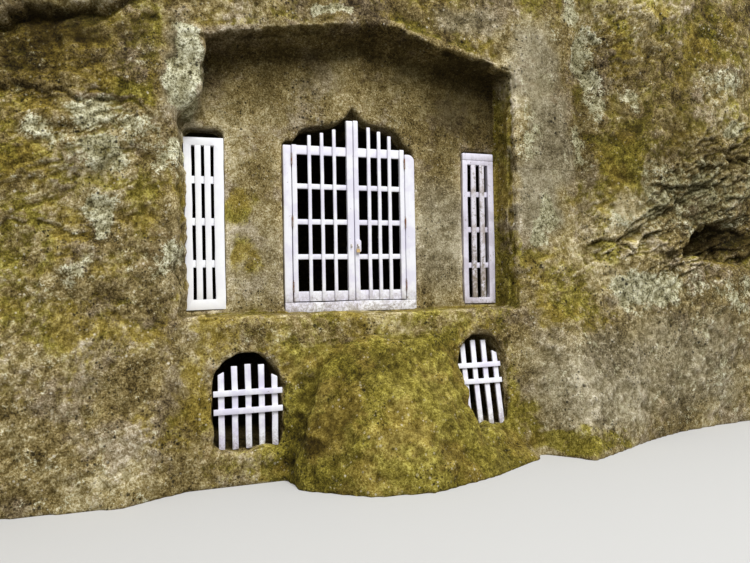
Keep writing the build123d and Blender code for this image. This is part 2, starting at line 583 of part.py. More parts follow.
# the bow of the shackle stands just clear of both edges of the staple's bar
bow_rise = sqrt((SHACKLE_R - SHACKLE_BAR_R) ** 2 - STAPLE_BAR_R ** 2)
hang_z = lock_z - STAPLE_R + STAPLE_BAR_R + LOCK_CLEAR - bow_rise
body_z = hang_z - SHACKLE_LEG
bar_end = Plane(origin=(lock_x + SHACKLE_R, shackle_y, hang_z)) * RegularPolygon(SHACKLE_BAR_R, SHACKLE_SIDES)
shackle = revolve(bar_end, Axis((lock_x, shackle_y, hang_z), (0, -1, 0)), 180)
shackle += extrude(bar_end, -SHACKLE_LEG) + extrude(Pos(-2 * SHACKLE_R, 0, 0) * bar_end, -SHACKLE_LEG)
padlock = slab(lock_x - PADLOCK_W / 2, lock_x + PADLOCK_W / 2, shackle_y - PADLOCK_T / 2,
               shackle_y + PADLOCK_T / 2, body_z - PADLOCK_H, body_z)
padlock = fillet(padlock.edges().filter_by(Axis.Y), PADLOCK_ROUND)


# Slit windows: a frame, two upright bars in front and three rails behind them
def make_slit(slit, rails, rail_w):
    x0, x1 = slit["x0"], slit["x1"]
    z0, z1 = floor + slit["z0"], floor + slit["z1"]
    left, right = slit["stiles"]
    ix0, ix1 = x0 + left, x1 - right
    iz0, iz1 = z0 + slit["bottom"], z1 - slit["top"]
    y0 = FACE_Y - SLIT_PROUD
    frame = slab(x0, x1, y0, y0 + SLIT_D, z0, z1) - slab(ix0, ix1, y0 - CUT, y0 + SLIT_D + CUT, iz0, iz1)
    gap = (ix1 - ix0 - 2 * SLIT_BAR_W) / 3
    bars = [slab(ix0 + gap + i * (gap + SLIT_BAR_W), ix0 + gap + i * (gap + SLIT_BAR_W) + SLIT_BAR_W,
                 y0, y0 + SLIT_BAR_T, iz0, iz1) for i in range(2)]
    cross = [slab(ix0, ix1, y0 + SLIT_BAR_T, y0 + SLIT_BAR_T + SLIT_RAIL_T,
                  floor + z - rail_w / 2, floor + z + rail_w / 2) for z in rails]
    return frame, bars, cross


slit_left = make_slit(SLIT_L, SLIT_RAILS_L, SLIT_RAIL_W[0])
slit_right = make_slit(SLIT_R, SLIT_RAILS_R, SLIT_RAIL_W[1])
cap_z = floor + SLIT_R["z1"]
slit_back = FACE_Y + SLIT_D - SLIT_PROUD
slit_cap = slab(SLIT_R["x0"], SLIT_R["x1"], FACE_Y - CAP_PROUD, slit_back, cap_z, cap_z + CAP_H)
slit_cap = fillet(slit_cap.edges().filter_by(Axis.Y).group_by(Axis.Z)[-1], CAP_ROUND)


# Low grilles
def make_grille(cell, tops, rails, shift=0):
    """Pickets on two rails; the rails lie in front and reach the sides of the cell."""
    reach = cell["w"] / 2 - GRILLE_CLEAR
    centre = cell["x"]
    start = centre + shift - PICKET_PITCH * (len(tops) - 1) / 2
    pickets, cross = [], []
    for i, top in enumerate(tops):
        x = start + i * PICKET_PITCH
        picket = slab(x - PICKET_W / 2, x + PICKET_W / 2, 0, PICKET_T, 0, top)
        edge = picket.faces().sort_by(Axis.Z)[-1].edges().filter_by(Axis.Y).sort_by(Axis.X)
        outer = {0: edge[0], len(tops) - 1: edge[-1]}.get(i)
        if outer:
            picket = chamfer(outer, PICKET_W * PICKET_CUT_W, PICKET_W * PICKET_CUT_H)
        pickets.append(picket)
    for z in rails:
        cross.append(slab(centre - reach, centre + reach, -GRILLE_RAIL_T, 0,
                          z - GRILLE_RAIL_W / 2, z + GRILLE_RAIL_W / 2))
    drop = PICKET_T * sin(radians(cell["lean"]))
    place = Pos(0, grille_y(), CELL_FLOOR + drop) * Rot(-cell["lean"], 0, 0)
    return [place * p for p in pickets], [place * c for c in cross]


grille_left = make_grille(CELL_L, PICKET_TOPS_L, GRILLE_RAILS_L)
grille_right = make_grille(CELL_R, PICKET_TOPS_R, GRILLE_RAILS_R, GRILLE_SHIFT_R)

save("cliff_left", cliff_left)
save("cliff_right", cliff_right)
save("crown_rock", crown_rock)
save("vault_rock", vault_rock)
save("back_rock", back_rock)
save("wall_left", wall_left)
save("wall_right", wall_right)
save("wall_head", wall_head)
save("base_left", base_left)
save("base_centre", base_centre)
save("base_right", base_right)
save("mound", mound)
save("gate_jamb_left", jamb_left)
save("gate_jamb_right", jamb_right)
save("gate_threshold", threshold)
for word, leaf in (("left", leaf_l), ("right", leaf_r)):
    save(f"{word}_leaf_hinge_stile", leaf[0])
    save(f"{word}_leaf_meeting_stile", leaf[1])
    save(f"{word}_leaf_rails", *leaf[2])
    save(f"{word}_leaf_bars", *leaf[3])
for word, hinges in (("left", hinges_l), ("right", hinges_r)):
    save(f"{word}_fixed_hinges", *[h[0] for h in hinges])
    save(f"{word}_leaf_hinges", *[h[1] for h in hinges])
save("lock_board", lock_board)
save("staple_left", staple_left)
save("staple_right", staple_right)
save("padlock_shackle", shackle)
save("padlock_body", padlock)
save("slit_left_frame", slit_left[0])
save("slit_left_bars", *slit_left[1])
save("slit_left_rails", *slit_left[2])
save("slit_right_frame", slit_right[0])
save("slit_right_bars", *slit_right[1])
save("slit_right_rails", *slit_right[2])
save("slit_right_cap", slit_cap)
save("low_grille_left_pickets", *grille_left[0])
save("low_grille_left_rails", *grille_left[1])
save("low_grille_right_pickets", *grille_right[0])
save("low_grille_right_rails", *grille_right[1])
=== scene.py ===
"""Looks of the cave chapel: worn tuff with moss and lichen, white painted timber, rusty hinges."""
import itertools
import json
import math

import bpy
import numpy as np
from mathutils import Matrix, Vector


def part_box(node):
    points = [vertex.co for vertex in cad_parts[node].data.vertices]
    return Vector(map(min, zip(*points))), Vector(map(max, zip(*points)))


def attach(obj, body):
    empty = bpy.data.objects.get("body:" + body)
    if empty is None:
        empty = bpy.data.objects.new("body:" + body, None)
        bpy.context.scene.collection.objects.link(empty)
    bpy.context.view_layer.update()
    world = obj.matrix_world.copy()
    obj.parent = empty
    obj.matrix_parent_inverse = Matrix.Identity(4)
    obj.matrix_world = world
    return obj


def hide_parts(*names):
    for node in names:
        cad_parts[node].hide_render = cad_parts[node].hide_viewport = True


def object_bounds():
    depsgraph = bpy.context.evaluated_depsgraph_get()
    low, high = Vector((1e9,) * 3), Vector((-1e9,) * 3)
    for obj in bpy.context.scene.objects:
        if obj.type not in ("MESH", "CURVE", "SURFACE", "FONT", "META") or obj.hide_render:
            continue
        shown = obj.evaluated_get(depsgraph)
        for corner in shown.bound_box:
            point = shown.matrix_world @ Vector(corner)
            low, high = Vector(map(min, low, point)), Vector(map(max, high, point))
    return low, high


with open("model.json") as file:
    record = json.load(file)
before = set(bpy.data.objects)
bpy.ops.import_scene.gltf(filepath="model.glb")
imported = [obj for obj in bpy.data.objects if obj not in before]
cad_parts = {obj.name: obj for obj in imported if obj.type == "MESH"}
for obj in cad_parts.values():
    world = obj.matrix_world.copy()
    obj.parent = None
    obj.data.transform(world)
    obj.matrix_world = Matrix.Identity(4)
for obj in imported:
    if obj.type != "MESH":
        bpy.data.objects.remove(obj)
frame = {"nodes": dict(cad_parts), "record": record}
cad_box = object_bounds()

# Camera of the photograph, in metres in the part's own frame, with its lens in pixels of the picture
EYE = Vector((-1.489, -6.80, 1.534))
YAW, PITCH, ROLL = math.radians(17.8), math.radians(0.3), math.radians(-1.04)
FOCAL_PX, FRAME_W = 607.0, 750
SENSOR = 36.0

# Light: strength of the sky, the one lamp, and the floor as the camera sees it and as it lights the rock
SKY = 0.53
LAMP_SIZE, LAMP_WATTS = 11.0, 7900.0
LAMP_PLACE, LAMP_AIM = Vector((3.6, -19.0, 23.0)), Vector((0.0, -1.5, 2.0))
FLOOR_SIZE = 60
FLOOR_SEEN, FLOOR_LIGHT = (0.60, 0.60, 0.59), (0.20, 0.20, 0.20)

# Places on the rock, in metres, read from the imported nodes
WALL_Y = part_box("wall_left")[0][1]
FLOOR_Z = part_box("wall_left")[0][2]
RECESS_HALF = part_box("crown_rock")[1][0]
RECESS_EAVES, RECESS_APEX = FLOOR_Z + 2.21, FLOOR_Z + 2.545
RECESS_RIM = 0.03
APEX_X = 0.13
FACE_Y = WALL_Y - 0.30
CARVED_Y = -1.40      # all that is carved or overgrown lies in front of this
MOUND_X = 0.35        # middle of the mound
LOW, HIGH = (Vector(corner) for corner in cad_box)

ROCK = ("cliff_left", "cliff_right", "crown_rock", "vault_rock", "back_rock", "wall_left", "wall_right",
        "wall_head", "base_left", "base_centre", "base_right", "mound")

# Two skins of rock: the carved front, whose voxels are subdivided once, and the rough rest
FRONT_VOXEL, BACK_VOXEL = 0.029, 0.048
SKIN_Y = -1.30        # upright plane inside the rock where they meet
OVERLAP = 0.06        # how far past it each is gathered before it is sawn off
SEAM = 0.005          # how far the rest then runs into the front
FOOT_CUT = 0.006      # sawn off the foot, so that it stands flat
FOOT_SNAP = 0.0005    # what lies this near the cut is set down on the ground

# Relief: levels of a vertex group, greatest height or depth, and the random patterns
WEIGHT_STEPS = 400
REACH = 0.20
LATTICE = 48          # cells of a pattern before it repeats
TURNED = np.array(Matrix.Rotation(0.7, 3, Vector((1, 2, 3))))      # sets the patterns askew of the axes
BED_RISE = math.radians(20)      # slope of the broken beds, up to the right
LAP = 0.050           # how far the left flank laps over the edge of the left window

# Painted shade in pits and hollows on either skin: rounds of averaging that find pits and hollows, and the
# depth of a full pit
FRONT_PIT_SHADE, BACK_PIT_SHADE = (3, 24, 0.004), (1, 3, 0.012)
HOLLOW_DEPTH = 0.030  # of a full hollow
# Inside the low cells and the chamber the rock is painted dark as shade
CELL_ARCH = 0.28      # height of the round head of either low cell
CHAMBER_BACK, CHAMBER_HEIGHT = 1.9, 2.1      # inside

# Where the finished front is sawn into pieces
LEFT_SAW, RIGHT_SAW = -1.504, 1.50
FOOT_SAW, CROWN_SAW, SHOULDER_SAW = FLOOR_Z - 0.03, 3.2, 2.6


# Hand tools

def add(name, data):
    """A new object in the scene."""
    thing = bpy.data.objects.new(name, data)
    bpy.context.scene.collection.objects.link(thing)
    return thing


def pick(*things):
    """Select only these; the last one is active."""
    bpy.ops.object.select_all(action="DESELECT")
    for thing in things:
        thing.select_set(True)
    bpy.context.view_layer.objects.active = things[-1]


def edit(piece):
    """Open a piece in edit mode with all of it selected."""
    pick(piece)
    bpy.ops.object.mode_set(mode="EDIT")
    bpy.ops.mesh.select_all(action="SELECT")


def done():
    """Leave edit mode."""
    bpy.ops.object.mode_set(mode="OBJECT")


def cut(piece, point, normal):
    """Saw off what lies on the side that the normal points to, and close the cut."""
    edit(piece)
    bpy.ops.mesh.bisect(plane_co=point, plane_no=normal, use_fill=True, clear_outer=True)
    bpy.ops.mesh.faces_shade_flat()
    done()


def twin(node):
    """A loose copy of a node's mesh, with its corners joined."""
    piece = add("twin", frame["nodes"][node].data.copy())
    edit(piece)
    bpy.ops.mesh.remove_doubles(threshold=0.0001)
    done()
    return piece


def coordinates(piece):
    """Positions of all vertices, as rows."""
    flat = np.empty(len(piece.data.vertices) * 3, dtype=np.float32)
    piece.data.vertices.foreach_get("co", flat)
    return flat.reshape(-1, 3)


def place(piece, rows):
    """Move all vertices to these positions."""
    piece.data.vertices.foreach_set("co", rows.astype(np.float32).ravel())
    piece.data.update()


def ramp(value, low, high):
    """0 below low, 1 above high, straight between."""
    return np.clip((value - low) / (high - low), 0.0, 1.0)


def spot(x, z, centre, radius):
    """A soft round patch on the front of the rock."""
    return np.exp(-((x - centre[0]) / radius[0]) ** 2 - ((z - centre[1]) / radius[1]) ** 2)


def wander(x, z, reach, pace):
    """A smooth shift that makes a line or an edge uneven."""
    return reach * (np.sin(pace * (1.0 * x + 0.6 * z)) + 0.6 * np.sin(pace * (1.9 * z - 1.3 * x) + 1.3)
                    + 0.4 * np.sin(pace * (3.7 * x + 2.9 * z) + 0.4)) / 2.0


def clouds(points, size, seed):
    """A soft random pattern through space between 0 and 1, with lumps of about one size."""
    dice = np.random.default_rng(seed).random((LATTICE,) * 3).astype(np.float32)
    scaled = points @ TURNED.astype(np.float32) / size
    cell = np.floor(scaled).astype(int)
    share = scaled - cell
    share = share * share * (3 - 2 * share)
    total = np.zeros(len(points), dtype=np.float32)
    for corner in itertools.product((0, 1), repeat=3):
        weight = np.prod(np.where(corner, share, 1 - share), axis=1)
        total += weight * dice[tuple(((cell + corner) % LATTICE).T)]
    return total


def fractal(points, size, turns, seed, share=0.5):
    """Lumps of one size with finer and finer ones on them, about one half."""
    total = sum(share ** turn * clouds(points, size / 2 ** turn, seed + turn) for turn in range(turns))
    return total / sum(share ** turn for turn in range(turns))


def ledges(points, height, length, seed):
    """Broken beds that rise to the right: each block juts out at its foot and falls back towards its top."""
    x, y, z = points.T
    across = math.cos(BED_RISE) * z - math.sin(BED_RISE) * x
    along = math.cos(BED_RISE) * x + math.sin(BED_RISE) * z + 0.8 * y
    across = across + 2.2 * height * fractal(points, 2.5 * height, 3, seed)
    along = along + 1.2 * length * clouds(points, 0.9 * length, seed + 7)
    dice = np.random.default_rng(seed).random((LATTICE, LATTICE))
    bed = np.floor(across / height).astype(int)
    block = np.floor(along / length + 7 * dice[bed % LATTICE, 0]).astype(int)
    return dice[bed % LATTICE, block % LATTICE] * (1 - 0.75 * (across / height - bed))


def crack(x, z, points, width, below):
    """A ragged line through some points of the front: sharp on its upper side, easing out below it."""
    shifted_x = x + wander(x, z, 0.05, 9.0)
    shifted_z = z + wander(z, x, 0.05, 11.0) + wander(x, z, 0.015, 41.0)
    best, lower = np.full(len(x), 9.0), np.zeros(len(x), dtype=bool)
    for (ax, az), (bx, bz) in zip(points, points[1:]):
        run = (bx - ax) ** 2 + (bz - az) ** 2
        along = np.clip(((shifted_x - ax) * (bx - ax) + (shifted_z - az) * (bz - az)) / run, 0.0, 1.0)
        rise = shifted_z - az - along * (bz - az)
        apart = np.hypot(shifted_x - ax - along * (bx - ax), rise)
        lower = np.where(apart < best, rise < 0, lower)
        best = np.minimum(best, apart)
    return np.where(lower, np.exp(-best / below), np.exp(-(best / width) ** 2))


def weigh(piece, name, weights):
    """A vertex group from an array of weights, in even steps."""
    group = piece.vertex_groups.new(name=name)
    levels = np.rint(np.clip(weights, 0.0, 1.0) * WEIGHT_STEPS).astype(int)
    for level in range(1, WEIGHT_STEPS + 1):
        chosen = np.flatnonzero(levels == level)
        if len(chosen):
            group.add(chosen.tolist(), level / WEIGHT_STEPS, "REPLACE")


def apply_all(piece):
    """Apply a piece's modifiers, from the first to the last."""
    pick(piece)
    for modifier in list(piece.modifiers):
        bpy.ops.object.modifier_apply(modifier=modifier.name)


# Rock

def gather(name, y, side):
    """The rock on one side of an upright plane: +1 keeps what lies in front of it, -1 behind it."""
    pieces = []
    for node in ROCK:
        low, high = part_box(node)
        if (side > 0 and low[1] > y) or (side < 0 and high[1] < y):
            continue
        piece = twin(node)
        if low[1] < y < high[1]:
            cut(piece, (0, y, 0), (0, side, 0))
        pieces.append(piece)
    pick(*pieces)
    bpy.ops.object.join()
    whole = bpy.context.object
    whole.name = name
    whole.data.materials.clear()
    return whole


def refine(piece, voxel):
    """Turn joined solids into one even skin."""
    remesh = piece.modifiers.new("skin", "REMESH")
    remesh.mode = "VOXEL"
    remesh.voxel_size = voxel
    remesh.use_smooth_shade = True
    apply_all(piece)


def outside_recess(x, z):
    """Distance past the outline of the carved recess, negative inside it."""
    run = np.where(x > APEX_X, RECESS_HALF - APEX_X, RECESS_HALF + APEX_X)
    soffit = RECESS_APEX - (RECESS_APEX - RECESS_EAVES) * np.abs(x - APEX_X) / run
    return np.maximum(np.abs(x) - RECESS_HALF - RECESS_RIM, z - soffit)


def broken_rock(points):
    """Where the right flank is broken into ledges, with a little of it in the upper left."""
    x, _, z = points.T
    uneven = 0.9 * fractal(points, 0.45, 2, 3) - 0.45
    top = np.interp(x, *zip(*BROKEN_TOP))
    right = ramp(top - z + uneven, 0.0, 0.22) * ramp(z - BROKEN_FOOT + uneven, 0.0, 0.30) * ramp(x, 2.2, 2.6)
    return np.maximum(right, 0.35 * spot(x, z, (-2.1, 2.9), (0.75, 0.6)))


def zones(rows):
    """How strongly each kind of relief acts at each point, from where the point is."""
    x, y, z = rows.T
    outside = outside_recess(x, z)
    above = z > FLOOR_Z - 0.01
    free = ramp(z, 0.01, 0.12) * ramp(np.abs(y - SKIN_Y), 0.01, 0.25)
    # the round lump at the recess's upper left corner
    boss = (y < WALL_Y) * (x < -1.27) * ramp(x, -1.80, -1.58) * ramp(z, 2.84, 2.94) * ramp(3.70 - z, 0, 0.12)
    # the rock under the ledge, the mound that narrows upwards before it, and the join between the two
    base = ramp(RECESS_HALF + 0.18 - np.abs(x), 0.0, 0.36) * ~above
    lean = 0.5 * np.clip(z - 0.3, 0, 1)
    aside = np.abs(x - MOUND_X)
    mound = base * (aside < 1.25 - 0.55 * lean) * (y < -1.86) * (z < 1.10)
    edge = base * (np.abs(aside - 1.0 + 0.45 * lean) < 0.30) * (y < -1.70)
    # the recess's wall, the cliff round it and the worn rim between them
    inner = (y < WALL_Y + 0.02) & above & (outside < 0.01)
    cliff = np.where(above, ramp(outside, 0.0, 0.11), ramp(np.abs(x) - RECESS_HALF, -0.1, 0.25)) * (1 - boss)
    arris = np.exp(-(outside / 0.07) ** 2) * above * (y < FACE_Y + 0.12) * (1 - boss)
    # quieter rock: a band right of the recess, the foot of the right flank and the lower left flank
    band = ramp(x, 1.45, 1.6) * ramp(2.40 - x + wander(z, x, 0.08, 5.0), 0.0, 0.25) * ramp(z, 1.3, 2.2)
    foot = ramp(1.7 - z, 0.0, 0.6) * (x > 1.4)
    calm = ramp(2.3 - z, 0.0, 0.5) * (x < -1.4)
    rugged = broken_rock(rows)
    # what lies behind the boards of the gate and the windows stays as it is
    hidden = ramp(y, -1.42, -1.34) * (np.abs(x) < 1.6) * (z < 3.6)
    groups = {
        "cliff": cliff * (1 - 0.75 * band) * (1 - 0.35 * foot),
        "rugged": rugged * cliff * (1 - 0.8 * band),
        "broken": cliff * (1 - 0.9 * band) * (1 - 0.7 * foot) * (1 - 0.3 * calm) * (0.45 + 0.55 * rugged),
        "crumbly": cliff * (1 - 0.55 * band) + 0.45 * base + 0.3 * mound + 0.7 * boss + 0.7 * arris,
        "carved": np.maximum(inner, base) * (1 - hidden),
        "lumpy": 0.9 * mound + 0.45 * base * (1 - mound) + 0.9 * boss + 0.80 * arris,
        "worn": 0.6 * base + 0.25 * inner + cliff + boss + mound,
        "blended": ramp(cliff, 0.2, 0.8) + 0.8 * edge + 0.6 * boss + 0.7 * arris,
    }
    return {name: np.clip(weights, 0, 1) * free for name, weights in groups.items()}


# Relief of the rock: size of its lumps, finer layers on them, whether they are creased, depth and zone
RELIEF = (
    (0.85, 3, False, 0.14, "cliff"),
    (0.40, 3, True, 0.11, "broken"),
    (0.20, 3, False, 0.06, "broken"),
    (0.10, 3, False, 0.056, "crumbly"),
    (0.26, 3, False, 0.12, "lumpy"),
    (0.12, 2, False, 0.045, "lumpy"),
    (0.30, 4, False, 0.045, "carved"),
    (0.060, 2, False, 0.014, "carved"),
)


def relief(points, found, smallest=0.0):
    """How far the rock stands out or falls back at each point, for lumps down to a size."""
    height = np.zeros(len(points))
    for number, (size, turns, creased, depth, zone) in enumerate(RELIEF):
        if size >= smallest:
            there = np.flatnonzero(found[zone] > 0)
            lumps = fractal(points[there], size, turns, 10 * number)
            lumps = np.abs(2 * lumps - 1) - 0.2 if creased else lumps - 0.5
            height[there] += depth * found[zone][there] * lumps
    return height


def carve(piece, height):
    """Sink and raise the skin by a height at each point."""
    for name, way in (("sunk", -1), ("raised", 1)):
        weigh(piece, name, way * height / REACH)
        layer = piece.modifiers.new(name, "DISPLACE")
        layer.strength = way * REACH
        layer.mid_level = 0.0
        layer.vertex_group = name
    apply_all(piece)


def soften(piece, zone, turns):
    """Wear the edges of one zone."""
    wear = piece.modifiers.new("wear", "SMOOTH")
    wear.iterations = turns
    wear.vertex_group = zone
    apply_all(piece)


# Upper edge of the broken rock on the right flank, as x and height, and the height of its foot
BROKEN_TOP = ((2.2, 1.90), (2.8, 2.50), (3.4, 2.95), (4.2, 3.22), (4.8, 3.25))
BROKEN_FOOT = 1.45

# Broken beds: height and length of a block, random seed and share of the depth
LEDGES = ((0.26, 0.55, 11, 0.50), (0.11, 0.25, 12, 0.30), (0.055, 0.11, 15, 0.20))
LEDGE_DEPTH, LEDGE_LEVEL = 0.150, 0.42      # of the broken rock
CHIPS = ((0.09, 0.17, 13, 0.6), (0.045, 0.08, 14, 0.4))
CHIP_DEPTH = 0.045       # of the small ledges all over the flanks

# Ragged steps in the rock: points of the line in x and z, its width, how far it eases out below, its depth
CRACKS = (
    (((2.35, 1.87), (2.78, 2.02), (3.15, 2.20), (3.53, 2.43), (3.99, 2.57)), 0.020, 0.045, 0.045),
    (((3.34, 1.71), (3.56, 1.88), (3.82, 2.01), (4.23, 2.06)), 0.030, 0.090, 0.070),
    (((3.91, 2.86), (4.20, 2.79), (4.50, 2.85)), 0.030, 0.070, 0.080),
    (((-3.9, 3.12), (-3.3, 3.36), (-2.5, 3.54), (-1.95, 3.70), (-1.70, 3.80)), 0.05, 0.12, 0.110),
    (((-2.75, 3.04), (-2.15, 2.95), (-1.85, 3.04), (-1.6, 2.88)), 0.020, 0.035, 0.030),
    (((-2.75, 1.98), (-2.45, 2.05), (-2.2, 1.96)), 0.020, 0.035, 0.022),
    (((-4.3, 2.20), (-3.7, 2.32), (-3.1, 2.22)), 0.030, 0.070, 0.050),
    (((-4.4, 1.10), (-3.6, 1.02), (-2.9, 1.20)), 0.030, 0.070, 0.040),
)


def beds(points, table):
    """Ledges of several sizes on each other."""
    return sum(share * ledges(points, height, length, seed) for height, length, seed, share in table)


def face_height(rows, found):
    """Relief of the carved front: random lumps, ragged steps, broken beds and a lap over the left window."""
    x, y, z = rows.T
    outer = ramp(np.abs(x), 1.60, 1.80) * (y < CARVED_Y) * ramp(z, 0.02, 0.2)
    height = relief(rows, found)
    for points, width, below, depth in CRACKS:
        height -= depth * crack(x, z, points, width, below) * outer
    broken = found["rugged"] * outer
    there = np.flatnonzero(broken > 0)
    height[there] += LEDGE_DEPTH * broken[there] * (beds(rows[there], LEDGES) - LEDGE_LEVEL)
    chipped = found["broken"] * outer
    there = np.flatnonzero(chipped > 0)
    scattered = ramp(fractal(rows[there], 0.6, 3, 21), 0.40, 0.60)
    height[there] -= CHIP_DEPTH * chipped[there] * scattered * beds(rows[there], CHIPS)
    rim = ramp(x, -1.56, -1.47) * (x < -1.30) * (y < WALL_Y - 0.02)
    rim = rim * ramp(z, 1.28, 1.36) * ramp(2.86 - z, 0, 0.06)
    crumbs = 0.10 * (fractal(rows, 0.12, 4, 31) - 0.5)
    return height + rim * (LAP * (0.8 + wander(z, x, 0.35, 13.0)) + crumbs)


def shape_rock():
    """The carved front as one fine skin, and the rest of the block as a coarse one."""
    front = gather("front", SKIN_Y + OVERLAP, 1)
    refine(front, FRONT_VOXEL)
    found = zones(coordinates(front))
    for zone, turns in (("worn", 5), ("blended", 25)):
        weigh(front, zone, found[zone])
        soften(front, zone, turns)
    finer = front.modifiers.new("finer", "SUBSURF")
    finer.levels = finer.render_levels = 1
    apply_all(front)
    cut(front, (0, SKIN_Y, 0), (0, 1, 0))
    cut(front, (0, 0, FOOT_CUT), (0, 0, -1))
    rows = coordinates(front)
    carve(front, face_height(rows, zones(rows)))
    mark(front, *FRONT_PIT_SHADE)
    behind = gather("rock_behind", SKIN_Y - OVERLAP, -1)
    refine(behind, BACK_VOXEL)
    cut(behind, (0, SKIN_Y - SEAM, 0), (0, -1, 0))
    cut(behind, (0, 0, FOOT_CUT), (0, 0, -1))
    rows = coordinates(behind)
    carve(behind, relief(rows, zones(rows), 3 * BACK_VOXEL))
    mark(behind, *BACK_PIT_SHADE)
    for rock in (front, behind):
        rows = coordinates(rock)
        rows[rows[:, 2] < FOOT_CUT + FOOT_SNAP, 2] = 0.0
        place(rock, np.clip(rows, LOW, HIGH))
    return front, behind


# Growth, stains and painted shade on the cliff's face: x, z, half width, half height and strength of each
# patch.
# DARK darkens wet rock and paints the shade of hollows and overhangs, and PALE is where it is rubbed or
# washed bare
MOSS = (
    (-2.58, 2.48, 0.26, 0.12, 0.7), (-2.32, 2.35, 0.3, 0.13, 0.6), (-2.58, 2.12, 0.16, 0.2, 0.6),
    (-2.19, 2.28, 0.2, 0.15, 0.5), (-1.84, 2.32, 0.2, 0.14, 0.6), (-1.9, 3.06, 0.24, 0.11, 0.8),
    (-1.71, 3.52, 0.24, 0.12, 0.6), (-1.85, 1.68, 0.15, 0.12, 0.5), (-1.39, 0.66, 0.12, 0.35, 0.6),
    (-1.58, 0.52, 0.2, 0.2, 0.5), (-1.27, 1.24, 0.16, 0.05, 0.6), (-1.04, 1.15, 0.2, 0.06, 0.6),
    (-0.72, 1.18, 0.2, 0.06, 0.6), (2.62, 2.66, 0.27, 0.26, 0.9), (2.21, 2.4, 0.16, 0.16, 0.5),
    (2.2, 2.12, 0.15, 0.14, 0.5), (2.65, 3.89, 0.14, 0.28, 0.7), (3.08, 4.13, 0.3, 0.2, 0.6),
    (3.64, 3.94, 0.3, 0.22, 0.7), (4.09, 3.25, 0.2, 0.2, 0.6), (3.11, 2.98, 0.25, 0.15, 0.5),
    (2.52, 3.29, 0.15, 0.15, 0.5), (1.8, 1.64, 0.2, 0.3, 0.5), (2.24, 1.25, 0.3, 0.35, 0.55),
    (2.84, 1.83, 0.2, 0.1, 0.3), (1.4, 0.32, 0.2, 0.2, 0.7), (1.77, 0.15, 0.3, 0.1, 0.8),
    (2.21, 0.11, 0.35, 0.1, 0.7), (-0.99, 2.21, 0.12, 0.16, 0.7), (-0.98, 1.81, 0.15, 0.2, 0.7),
    (-0.86, 2.54, 0.1, 0.1, 0.45), (0.77, 2.09, 0.08, 0.1, 0.4), (0.76, 1.85, 0.08, 0.1, 0.65),
    (1.52, 2.71, 0.06, 0.3, 0.5), (1.53, 1.94, 0.06, 0.35, 0.6), (1.5, 1.46, 0.08, 0.2, 0.6),
    (-2.9, 1.2, 0.5, 0.5, 0.5), (-3.6, 2.6, 0.6, 0.7, 0.5), (-4.2, 1.2, 0.6, 0.6, 0.5),
    (-3.2, 4.3, 0.8, 0.4, 0.6), (4.4, 4.3, 0.4, 0.5, 0.5), (0.2, 4.5, 1.2, 0.4, 0.5),
    (1.72, 1.85, 0.16, 0.35, 0.5), (2.05, 1.45, 0.35, 0.3, 0.6), (2.45, 2.1, 0.12, 0.5, 0.6),
    (2.75, 2.95, 0.5, 0.4, 0.55), (-0.2, 1.26, 0.8, 0.06, 0.6), (0.9, 1.24, 0.6, 0.06, 0.6),
    (3.9, 2.75, 0.3, 0.1, 0.5), (-1.5, 2.15, 0.1, 0.35, 0.62), (-1.5, 1.55, 0.1, 0.15, 0.58),
)
LICHEN = (
    (-1.42, 3.47, 0.11, 0.13, 1), (-1.43, 3.2, 0.11, 0.15, 1), (-1.43, 3.04, 0.1, 0.1, 0.9),
    (-2.04, 2.58, 0.18, 0.13, 0.8), (-2.08, 2.86, 0.2, 0.1, 0.7), (-2.02, 2.09, 0.1, 0.17, 0.7),
    (-1.83, 2.74, 0.18, 0.14, 0.6), (-2.28, 2.72, 0.2, 0.1, 0.5), (-2.48, 2.7, 0.12, 0.12, 0.6),
    (-2.23, 1.68, 0.12, 0.12, 0.5), (-1.63, 1.75, 0.14, 0.12, 0.5), (-1.56, 2.55, 0.1, 0.18, 0.5),
    (2.15, 4.2, 0.1, 0.22, 0.62), (2.3, 3.8, 0.1, 0.28, 0.62), (2.41, 3.35, 0.1, 0.28, 0.62),
    (2.24, 2.85, 0.09, 0.25, 0.55), (1.67, 2.94, 0.12, 0.3, 0.5), (1.82, 2.2, 0.1, 0.22, 0.7),
    (1.79, 1.97, 0.08, 0.15, 0.7), (1.82, 3.23, 0.3, 0.5, 0.25), (2.81, 3.31, 0.12, 0.12, 0.6),
    (3.96, 3.55, 0.3, 0.15, 0.5), (4.09, 3.09, 0.2, 0.08, 0.9), (3.6, 2.44, 0.3, 0.2, 0.6),
    (3.1, 2.25, 0.3, 0.15, 0.5), (2.89, 1.43, 0.36, 0.17, 0.8), (3.2, 1.53, 0.2, 0.12, 0.6),
    (3.44, 1.02, 0.3, 0.2, 0.35), (3.88, 0.58, 0.3, 0.25, 0.4), (2.92, 0.34, 0.3, 0.2, 0.3),
    (4.11, 1.41, 0.25, 0.2, 0.5), (2.34, 0.58, 0.4, 0.4, 0.25), (-0.24, 3.87, 0.16, 0.05, 0.7),
    (-3.4, 1.7, 0.3, 0.3, 0.5), (-3.9, 3.3, 0.4, 0.3, 0.5), (-4.4, 2.2, 0.3, 0.4, 0.5),
    (4.5, 2.6, 0.3, 0.3, 0.5), (1, 4.4, 0.3, 0.2, 0.4), (-1, 4.6, 0.3, 0.2, 0.4),
    (3.5, 2.35, 0.85, 0.4, 0.5), (2.75, 2.1, 0.35, 0.15, 0.48), (3.2, 1.45, 0.7, 0.22, 0.42),
    (3.9, 1.1, 0.6, 0.5, 0.36), (-0.85, 1.13, 0.5, 0.1, 0.34), (0.1, 1.14, 0.8, 0.09, 0.3),
    (-1.51, 2.62, 0.1, 0.16, 0.6), (-1.51, 1.82, 0.09, 0.1, 0.55),
)
